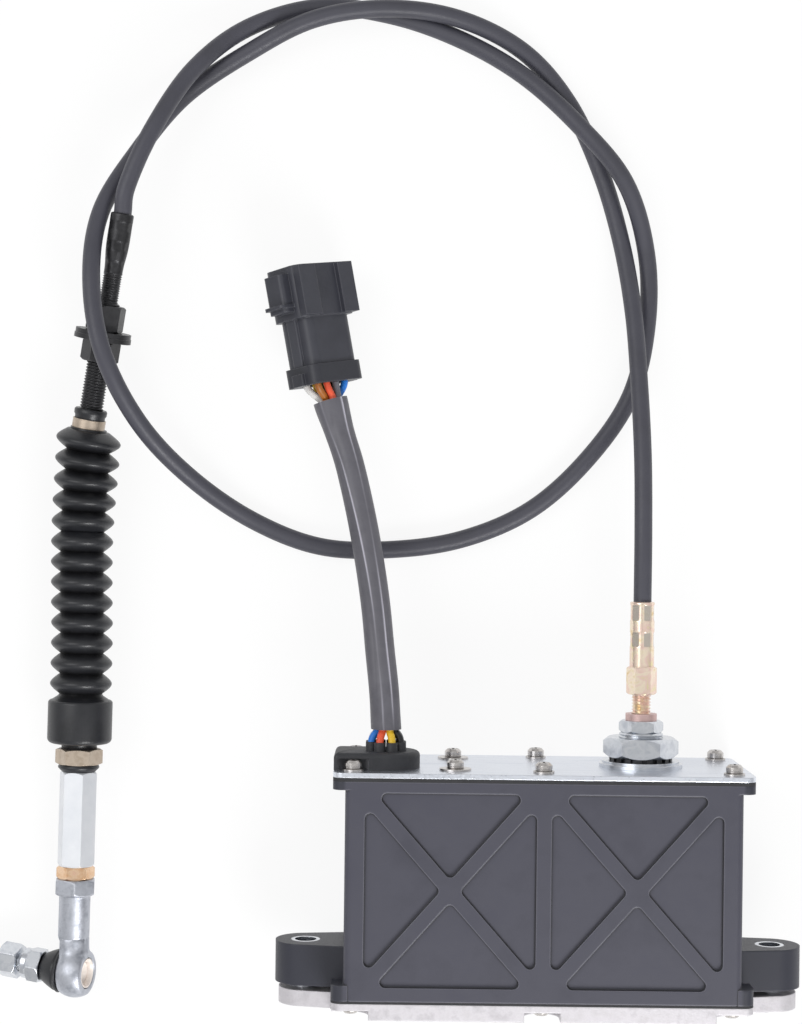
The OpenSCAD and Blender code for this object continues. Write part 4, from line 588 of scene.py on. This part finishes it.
def grommetPlan(front):
    # outline seen along the wires, with the given row of points along the front edge
    return np.concatenate([
        arcPoints(left + corner, gz - gr + corner, corner, 180, 270, 9),
        np.stack([np.linspace(left + corner + 2, gx - 1, 8), np.full(8, gz - gr)], 1),
        arcPoints(gx, gz, gr, -90, 90, 41), front,
        arcPoints(left + tip, gz + gr - tip, tip, 95, 180, grommet["tipCount"])])


plan = grommetPlan(arcPoints(sx, sz, notch, 0, -180, notchCount))
fullPlan = grommetPlan(np.stack([np.linspace(sx + notch, sx - notch, notchCount), np.full(notchCount, gz + gr)], 1))
ahead = np.roll(fullPlan, -1, 0) - np.roll(fullPlan, 1, 0)
inward = unit(np.stack([-ahead[:, 1], ahead[:, 0]], 1))
# rows climb the recessed side to the roof, step out, and roll over a rounded edge to the flat top
low, roof, high, edge, rim, seatBore = pick(grommet, "low roof high edge rim seatBore")
rowHeight = np.concatenate([[low, roof, roof], high - edge + edge * np.sin(cornerTurn)])
rowInset = np.concatenate([[0.0], edge * (1 - np.cos(cornerTurn))])
rows = np.concatenate([np.stack([plan, plan]), fullPlan[None] + rowInset[:, None, None] * inward[None]])
shell = np.stack([rows[..., 0], np.repeat(rowHeight[:, None], len(plan), 1), rows[..., 1]], -1) * mm
count = len(plan)
lastRow = (len(rowHeight) - 1) * count
capFaces = [list(range(count)), [lastRow + n for n in range(count)][::-1]]
grommetBlock = addMesh("grommetBlock", shell.reshape(-1, 3), gridFaces(len(rowHeight), count).tolist() + capFaces, 40)

# a collar round each wire, with a soft rim, and the seat that holds the moulding in the lid
collarR, wireR, lipR, neckR = pick(grommet, "collarR wireR lipR neckR")
collarTop, lidUnder = pick(wireSet, "collarTop lidUnder")
collarProfile = np.array([
    [high - 1.0, wireR], [high - 1.0, collarR + 0.25], [high + 0.5, collarR], [collarTop - rim, collarR],
    [collarTop - 0.1, collarR - 0.1], [collarTop, collarR - rim], [collarTop, wireR + 0.1], [collarTop - 0.1, wireR]])
seatProfile = np.array([
    [lidUnder - 2, seatBore], [lidUnder - 2, lipR - 0.5], [lidUnder - 1.5, lipR], [lidUnder - 0.02, lipR],
    [lidUnder - 0.02, neckR], [low - 0.02, neckR], [low - 0.02, seatBore]])


def loopMesh(profile, x, z, sides):
    # a ring whose closed section is a row of (height, radius)
    theta = ringAngles(sides)
    ring = np.stack([np.cos(theta), np.zeros(sides), np.sin(theta)], 1)
    points = np.array([x, 0, z]) + profile[:, None, :1] * np.array([0, 1.0, 0]) + profile[:, None, 1:] * ring
    return (points * mm).reshape(-1, 3), gridFaces(len(profile), sides, True)


collarAt = np.radians(slotTurn + slotStep * np.arange(grommet["collars"]))
parts = [loopMesh(collarProfile, gx + ringLow * cos(a), gz + ringLow * sin(a), 28) for a in collarAt]
parts.append(loopMesh(seatProfile, gx, gz, 64))
offsets = np.cumsum([0] + [len(p[0]) for p in parts[:-1]])
grommetCollars = addMesh("grommetCollars", np.concatenate([p[0] for p in parts]),
                         np.concatenate([p[1] + o for p, o in zip(parts, offsets)]).tolist(), 40)
for piece in (grommetBlock, grommetCollars):
    mount(piece, "actuator", "wire_grommet")
print("grommet made")

# finishes: every one has patches of shade, a fine grain in roughness and bump, and some have pale edges, a painted
# highlight with some wear; what a finish doesn't say is as here
plainFinish = dict(
    metal=0.0, stretch=(1, 1, 1), patchDetail=5, patchRough=0.6, swirl=0.0, grain=1500, grainDetail=3,
    spread=(0.3, 0.7), bump=0.2, bumpDepth=0.0001, highlightAndWearFrom=(0.995, 0.80), bevelRays=6, hollowFrom=(0.97, 0.55),
    hollowRays=8)


def shade(r, g, b):
    # display values to linear light
    c = np.array([r, g, b]) / 255
    return (*np.where(c <= 0.04045, c / 12.92, ((c + 0.055) / 1.055) ** 2.4).tolist(), 1.0)


def setRamp(ramp, stops, tones):
    while len(ramp.color_ramp.elements) < len(tones):
        ramp.color_ramp.elements.new(0.5)
    for element, stop, tone in zip(ramp.color_ramp.elements, stops, tones):
        element.position = float(stop)
        element.color = tone


def nodeTools(owner):
    # the nodes of a material or world, and what makes a link or a node with some of its inputs set
    owner.use_nodes = True
    tree = owner.node_tree

    def new(kind, **values):
        # an underscore in an input's name stands for a space
        node = tree.nodes.new("ShaderNode" + kind)
        for socket, value in values.items():
            node.inputs[socket.replace("_", " ")].default_value = value
        return node
    return tree.nodes, tree.links.new, new


def makeFinish(name, setup):
    setup = {**plainFinish, **setup}
    mat = bpy.data.materials.new(name)
    ownNodes, link, new = nodeTools(mat)
    shader = ownNodes["Principled BSDF"]

    def ranged(value, fromSpan, toSpan):
        # a value in one span, carried over to another
        node = new("MapRange", From_Min=fromSpan[0], From_Max=fromSpan[1], To_Min=toSpan[0], To_Max=toSpan[1])
        link(value, node.inputs["Value"])
        return node.outputs["Result"]

    def toned(colour, factor, tone):
        # the colour so far, mixed with a tone
        node = new("Mix")
        node.data_type = "RGBA"
        link(factor, node.inputs["Factor"])
        link(colour, node.inputs[6])
        node.inputs[7].default_value = shade(*tone)
        return node.outputs[2]

    shader.inputs["Metallic"].default_value = setup["metal"]
    where, stretched = new("TexCoord"), new("Mapping", Scale=setup["stretch"])
    patch = new("TexNoise", Scale=setup["patch"], Detail=setup["patchDetail"], Roughness=setup["patchRough"],
                Distortion=setup["swirl"])
    grain = new("TexNoise", Scale=setup["grain"], Detail=setup["grainDetail"])
    ramp, bump = new("ValToRGB"), new("Bump", Strength=setup["bump"], Distance=setup["bumpDepth"])
    link(where.outputs["Object"], stretched.inputs["Vector"])
    link(stretched.outputs["Vector"], patch.inputs["Vector"])
    link(stretched.outputs["Vector"], grain.inputs["Vector"])
    setRamp(ramp, np.linspace(*setup["spread"], len(setup["shades"])), [shade(*tone) for tone in setup["shades"]])
    link(patch.outputs["Fac"], ramp.inputs["Fac"])
    link(ranged(grain.outputs["Fac"], setup["spread"], setup["rough"]), shader.inputs["Roughness"])
    link(grain.outputs["Fac"], bump.inputs["Height"])
    colour = ramp.outputs["Color"]
    if "edge" in setup:
        # the rounded normal leaves the face's own normal near an edge, which marks where a pale tone goes: a painted
        # highlight on the rounded edge, with some wear
        width, tone, amount = setup["edge"]
        soft, face, compare = new("Bevel", Radius=width), new("NewGeometry"), new("VectorMath")
        soft.samples, compare.operation = setup["bevelRays"], "DOT_PRODUCT"
        link(soft.outputs["Normal"], compare.inputs[0])
        link(face.outputs["Normal"], compare.inputs[1])
        colour = toned(colour, ranged(compare.outputs["Value"], setup["highlightAndWearFrom"], (0, amount)), tone)
        link(soft.outputs["Normal"], bump.inputs["Normal"])
    if "hollow" in setup:
        # what lies in a corner or a valley is darker, by the light that nearby walls keep out
        reach, tone, amount = setup["hollow"]
        shut = new("AmbientOcclusion", Distance=reach)
        shut.samples, shut.only_local = setup["hollowRays"], True
        colour = toned(colour, ranged(shut.outputs["AO"], setup["hollowFrom"], (0, amount)), tone)
    if "beyond" in setup:
        # what stands out past the box's sides gets a painted shade
        inside, outside, tone, amount = setup["beyond"]
        split, side = new("SeparateXYZ"), new("Math")
        side.operation = "ABSOLUTE"
        link(where.outputs["Object"], split.inputs[0])
        link(split.outputs["X"], side.inputs[0])
        colour = toned(colour, ranged(side.outputs[0], (inside, outside), (0, amount)), tone)
    if "lines" in setup:
        # pale lines where the piece's own attribute marks them: a painted highlight along the sleeve's creases, and
        # the gold rubbed off the fitting's flats
        mark = new("Attribute")
        mark.attribute_name = "crease"
        colour = toned(colour, mark.outputs["Fac"], setup["lines"])
    link(colour, shader.inputs["Base Color"])
    link(bump.outputs["Normal"], shader.inputs["Normal"])
    return mat


# edge lightens rounded edges with a painted highlight and some wear; hollow is painted shade in corners and valleys
finishSetups = dict(
    boxPlastic=dict(shades=[(60, 60, 71), (66, 66, 77), (63, 63, 75)], patch=45, grain=2600, rough=(0.38, 0.55),
        bump=0.16, bumpDepth=0.00012, edge=(0.0009, (150, 150, 160), 0.5), hollow=(0.001, (10, 10, 14), 0.95),
        # the ears and flange ends past the box's sides get a painted shade
        beyond=(0.0795, 0.0808, (36, 38, 48), 0.8)),
    gasketRubber=dict(shades=[(34, 34, 37), (46, 46, 49)], patch=90, grain=1800, rough=(0.6, 0.8), bump=0.3),
    zincPlate=dict(shades=[(215, 220, 230), (227, 231, 239), (221, 225, 234)], patch=35, grain=900, metal=1.0,
        rough=(0.26, 0.42), bump=0.05, stretch=(1, 1, 6), edge=(0.0005, (235, 236, 240), 0.6)),
    castAlloy=dict(shades=[(186, 183, 187), (206, 203, 207), (196, 193, 196)], patch=150, grain=1400, metal=0.6,
        rough=(0.48, 0.66), bump=0.35, bumpDepth=0.0002, edge=(0.0008, (238, 238, 240), 0.5)),
    zincSteel=dict(shades=[(192, 196, 204), (214, 217, 222), (203, 207, 213)], patch=160, patchDetail=2, grain=1600,
        metal=1.0, rough=(0.23, 0.27), bump=0.006, edge=(0.0003, (240, 241, 244), 0.7)),
    zincBright=dict(shades=[(216, 219, 224), (226, 228, 232)], patch=120, grain=1600, metal=0.35,
        rough=(0.34, 0.46), bump=0.02, edge=(0.0003, (246, 247, 249), 0.6)),
    screwSteel=dict(shades=[(176, 171, 168), (208, 204, 201), (192, 187, 184)], patch=300, grain=1800, metal=1.0,
        rough=(0.22, 0.36), bump=0.06, edge=(0.0003, (228, 226, 222), 0.6), hollow=(0.001, (60, 52, 48), 0.8)),
    castSteel=dict(shades=[(160, 164, 173), (194, 197, 205), (176, 180, 188)], patch=190, metal=1.0,
        rough=(0.36, 0.56), bump=0.3, bumpDepth=0.00012, edge=(0.0009, (222, 224, 228), 0.5)),
    blackSteel=dict(shades=[(46, 46, 48), (60, 60, 62), (52, 52, 54)], patch=150, grain=1900, metal=0.7,
        rough=(0.3, 0.46), bump=0.1, edge=(0.00035, (120, 120, 122), 0.5)),
    goldChromate=dict(shades=[(228, 198, 152), (246, 232, 208), (242, 212, 200), (234, 224, 178)], patch=150,
        swirl=0.6, grain=1600, metal=0.75, rough=(0.18, 0.26), bump=0.01, lines=(184, 180, 172)),
    jamChromate=dict(shades=[(214, 168, 126), (232, 200, 168), (228, 184, 162)], patch=150, swirl=0.6, grain=1600,
        metal=0.85, rough=(0.18, 0.26), bump=0.01, edge=(0.0003, (244, 226, 200), 0.5)),
    roseRing=dict(shades=[(208, 176, 172), (226, 198, 194)], patch=200, grain=1600, metal=0.6, rough=(0.34, 0.5),
        bump=0.06, edge=(0.0003, (240, 222, 218), 0.5)),
    sheathVinyl=dict(shades=[(60, 60, 68), (67, 67, 76), (63, 63, 72)], patch=30, grain=1300, rough=(0.4, 0.55),
        bump=0.12, bumpDepth=0.00015),
    bootRubber=dict(shades=[(26, 27, 30), (35, 36, 40), (30, 31, 35)], patch=80, rough=(0.3, 0.44),
        bumpDepth=0.00012, hollow=(0.004, (10, 10, 12), 0.9)),
    grommetRubber=dict(shades=[(44, 45, 49), (52, 53, 57), (47, 48, 53)], patch=90, grain=1700, rough=(0.5, 0.66),
        bump=0.22, bumpDepth=0.00012),
    # paler rubber for the screw recess, a painted light against its shade
    litRecessRubber=dict(shades=[(118, 119, 123), (138, 139, 143)], patch=120, grain=1700, rough=(0.6, 0.8)),
    # the pale lines along the sleeve's creases are a painted highlight
    sleeveVinyl=dict(shades=[(82, 81, 88), (94, 93, 100), (88, 87, 94)], patch=60, grain=900, rough=(0.38, 0.52),
        bump=0.18, bumpDepth=0.0002, lines=(190, 188, 200)),
    plugPlastic=dict(shades=[(50, 51, 59), (57, 58, 66), (53, 54, 62)], patch=50, grain=2400, rough=(0.36, 0.5),
        bump=0.12, edge=(0.0007, (104, 105, 112), 0.4)),
    coverPlastic=dict(shades=[(38, 39, 46), (46, 47, 54), (42, 43, 50)], patch=50, grain=2400, rough=(0.36, 0.5),
        bump=0.12, edge=(0.0007, (96, 97, 104), 0.4)),
    clampTan=dict(shades=[(168, 152, 134), (192, 178, 162), (180, 164, 148)], patch=200, metal=0.8,
        rough=(0.3, 0.48), bump=0.1, edge=(0.0003, (226, 216, 202), 0.5)),
    raceBronze=dict(shades=[(232, 222, 214), (242, 234, 228)], patch=200, metal=0.2, rough=(0.32, 0.5), bump=0.1),
    sensorPlastic=dict(shades=[(34, 58, 42), (42, 68, 50)], patch=90, grain=2000, rough=(0.4, 0.55), bump=0.12),
    brightSteel=dict(shades=[(186, 188, 192), (208, 210, 213)], patch=140, metal=1.0, rough=(0.2, 0.34), bump=0.06,
        stretch=(1, 0.1, 1)),
    brassGear=dict(shades=[(186, 156, 92), (206, 178, 112)], patch=140, grain=1600, metal=1.0, rough=(0.26, 0.4),
        bump=0.08, edge=(0.0003, (236, 214, 150), 0.5)),
    tinnedBlade=dict(shades=[(196, 192, 180), (214, 210, 200)], patch=200, metal=1.0, rough=(0.2, 0.35), bump=0.06))
wireFinish = dict(patch=150, rough=(0.36, 0.48), bump=0.08, darker=0.93)
wireShades = dict(
    blue=(40, 128, 226), orange=(244, 96, 62), green=(28, 112, 42), yellow=(244, 200, 48), white=(226, 224, 222),
    brown=(166, 98, 32), grey=(126, 126, 134), black=(34, 34, 38))
for colour, tone in wireShades.items():
    darker = tuple(int(wireFinish["darker"] * c) for c in tone)
    finishSetups["wire" + colour.capitalize()] = {**wireFinish, "shades": [darker, tone]}
finishes = {name: makeFinish(name, setup) for name, setup in finishSetups.items()}

finishOf = dict(
    boxPlastic=["housing"], gasketRubber=["top_gasket", "base_gasket"], zincPlate=["top_plate"],
    castAlloy=["base_plate"], screwSteel=["top_screws", "bracket_screws", "screw_washers", "base_screws"],
    zincSteel=["ear_bushes", "gland_washer", "gland_nut", "fitting_lock_nut", "stud_washer", "stud_nut",
    "gearbox_screws", "motor_bracket", "sensor_bracket"],
    blackSteel=["gland_lock_washer", "bulkhead_nuts", "bulkhead_washers"], roseRing=["seal_ring"],
    clampTan=["boot_upper_clamp", "boot_lower_clamp"], jamChromate=["coupling_nut"], castSteel=["gearbox_case"],
    plugPlastic=["connector_body"], coverPlastic=["connector_cover"], tinnedBlade=["connector_terminals"],
    brassGear=["drive_pinion"], sensorPlastic=["position_sensor"],
    brightSteel=["support_tube", "push_rod", "motor_can", "output_shaft", "guide_rods", "cable_core", "drive_rack"])
for finishName, names in finishOf.items():
    for materialSlot in [s for nodeName in names for s in nodes[nodeName].material_slots]:
        materialSlot.material = finishes[finishName]
pieceFinish = dict(
    sheathVinyl=[cableSheath], sleeveVinyl=[harnessSleeve], zincSteel=[glandNeck, studPiece],
    zincBright=[couplerPiece], castSteel=[rodEye, rodShank], raceBronze=[racePiece], goldChromate=[cableFitting],
    blackSteel=[hubPiece], bootRubber=[bootPiece, bellowsUpper, bellowsLower],
    grommetRubber=[grommetBlock, grommetCollars])
for finishName, pieces in pieceFinish.items():
    for piece in pieces:
        piece.data.materials.append(finishes[finishName])
for colour, wire in zip(wireSet["places"], wirePieces):
    wire.data.materials.append(finishes["wire" + colour.capitalize()])


def secondFinish(piece, finishName, chosen):
    # the faces that are chosen, by their number, get a finish of their own
    piece.data.materials.append(finishes[finishName])
    numbers = np.arange(len(piece.data.polygons))
    piece.data.polygons.foreach_set("material_index", chosen(numbers).astype(np.int32))


# the grommet's recess gets a paler finish, a painted light that lifts the shade inside it
recessStart = count - grommet["tipCount"] - notchCount
secondFinish(grommetBlock, "litRecessRubber", lambda n: (n >= recessStart) & (n < recessStart + notchCount - 1))
# the ball's dished end, with the ball's first rows, is as pale as its race
dishEnd = len(angles) * (len(dishRows[0]) + stud["paleRows"])
firstFan = len(studPiece.data.polygons) - 2 * len(angles)
secondFinish(studPiece, "raceBronze", lambda n: (n < dishEnd) | ((n >= firstFan) & (n < firstFan + len(angles))))
print("finishes made:", len(finishes))

# pale floor that glows a little in what is seen or mirrored
stageSetup = dict(floorHalf=30.0, floorTone=0.96, floorGlow=0.88, floorZ=-0.0006)
floorHalf, floorZ = pick(stageSetup, "floorHalf floorZ")
floor = addMesh("floor", [[-floorHalf, -floorHalf, floorZ], [floorHalf, -floorHalf, floorZ],
                          [floorHalf, floorHalf, floorZ], [-floorHalf, floorHalf, floorZ]], [[0, 1, 2, 3]])
floorMat = bpy.data.materials.new("paleFloor")
ownNodes, link, new = nodeTools(floorMat)
ownNodes.clear()
output, mixer, rays = new("OutputMaterial"), new("MixShader"), new("LightPath")
matte = new("BsdfDiffuse", Color=(stageSetup["floorTone"],) * 3 + (1,))
glow = new("Emission", Color=(1, 1, 1, 1), Strength=1.0)
seen, seenToo, share = new("Math"), new("Math"), new("Math")
seen.operation, seenToo.operation, share.operation = "MAXIMUM", "MAXIMUM", "MULTIPLY"
link(rays.outputs["Is Camera Ray"], seen.inputs[0])
link(rays.outputs["Is Glossy Ray"], seen.inputs[1])
link(seen.outputs[0], seenToo.inputs[0])
link(rays.outputs["Is Transmission Ray"], seenToo.inputs[1])
link(seenToo.outputs[0], share.inputs[0])
share.inputs[1].default_value = stageSetup["floorGlow"]
link(share.outputs[0], mixer.inputs["Fac"])
link(matte.outputs[0], mixer.inputs[1])
link(glow.outputs[0], mixer.inputs[2])
link(mixer.outputs[0], output.inputs["Surface"])
floor.data.materials.append(floorMat)

# dark card behind the camera, which only shows in flat metal that faces the camera
cardSetup = dict(radius=0.085, z=0.93, tone=0.03, sides=48)
cardTurn = np.linspace(0, 2 * pi, cardSetup["sides"] + 1)[:-1]
cardRing = np.stack([cameraSetup["place"][0] + cardSetup["radius"] * np.cos(cardTurn),
                     cameraSetup["place"][1] + cardSetup["radius"] * np.sin(cardTurn),
                     np.full(cardSetup["sides"], cardSetup["z"])], 1)
card = addMesh("cameraCard", cardRing, [list(range(cardSetup["sides"]))[::-1]])
cardMat = bpy.data.materials.new("darkCard")
cardShader = nodeTools(cardMat)[0]["Principled BSDF"]
cardShader.inputs["Base Color"].default_value = (cardSetup["tone"],) * 3 + (1,)
card.data.materials.append(cardMat)
card.visible_camera = False

# a white tent, paler overhead than at the sides
worldSetup = dict(stops=[0.0, 0.3, 0.75, 1.0], levels=[0.72, 0.76, 0.92, 0.95], strength=0.74)
world = bpy.data.worlds.new("studio")
scene.world = world
ownNodes, link, new = nodeTools(world)
sky = ownNodes["Background"]
sky.inputs["Strength"].default_value = worldSetup["strength"]
way, split, ramp = new("TexCoord"), new("SeparateXYZ"), new("ValToRGB")
link(way.outputs["Generated"], split.inputs[0])
link(split.outputs["Z"], ramp.inputs["Fac"])
setRamp(ramp, worldSetup["stops"], [(level, level, level, 1) for level in worldSetup["levels"]])
link(ramp.outputs["Color"], sky.inputs["Color"])
# the camera itself sees plain white behind the floor
skyMix, skyRays, plainSky = new("MixShader"), new("LightPath"), new("Background", Color=(1, 1, 1, 1), Strength=1.0)
link(skyRays.outputs["Is Camera Ray"], skyMix.inputs["Fac"])
link(sky.outputs["Background"], skyMix.inputs[1])
link(plainSky.outputs["Background"], skyMix.inputs[2])
link(skyMix.outputs[0], ownNodes["World Output"].inputs["Surface"])

lampTarget = (-0.06, 0.15, 0.0)
lampSetup = dict(keyLamp=((0.4, -0.95, 0.95), 14.0, 0.6), fillLamp=((-0.9, 0.5, 1.2), 6.0, 0.9))
for lampName, (spot, power, size) in lampSetup.items():
    lamp = bpy.data.lights.new(lampName, "AREA")
    lamp.energy, lamp.size = power, size
    lampObject = bpy.data.objects.new(lampName, lamp)
    lampObject.location = spot
    aim = np.array(lampTarget) - np.array(spot)
    yaw = np.arctan2(aim[1], aim[0])
    lampObject.rotation_euler = (np.arccos(-aim[2] / np.linalg.norm(aim)), 0, yaw - pi / 2)
    scene.collection.objects.link(lampObject)
scene.view_settings.view_transform = "Standard"
print("stage and light ready")
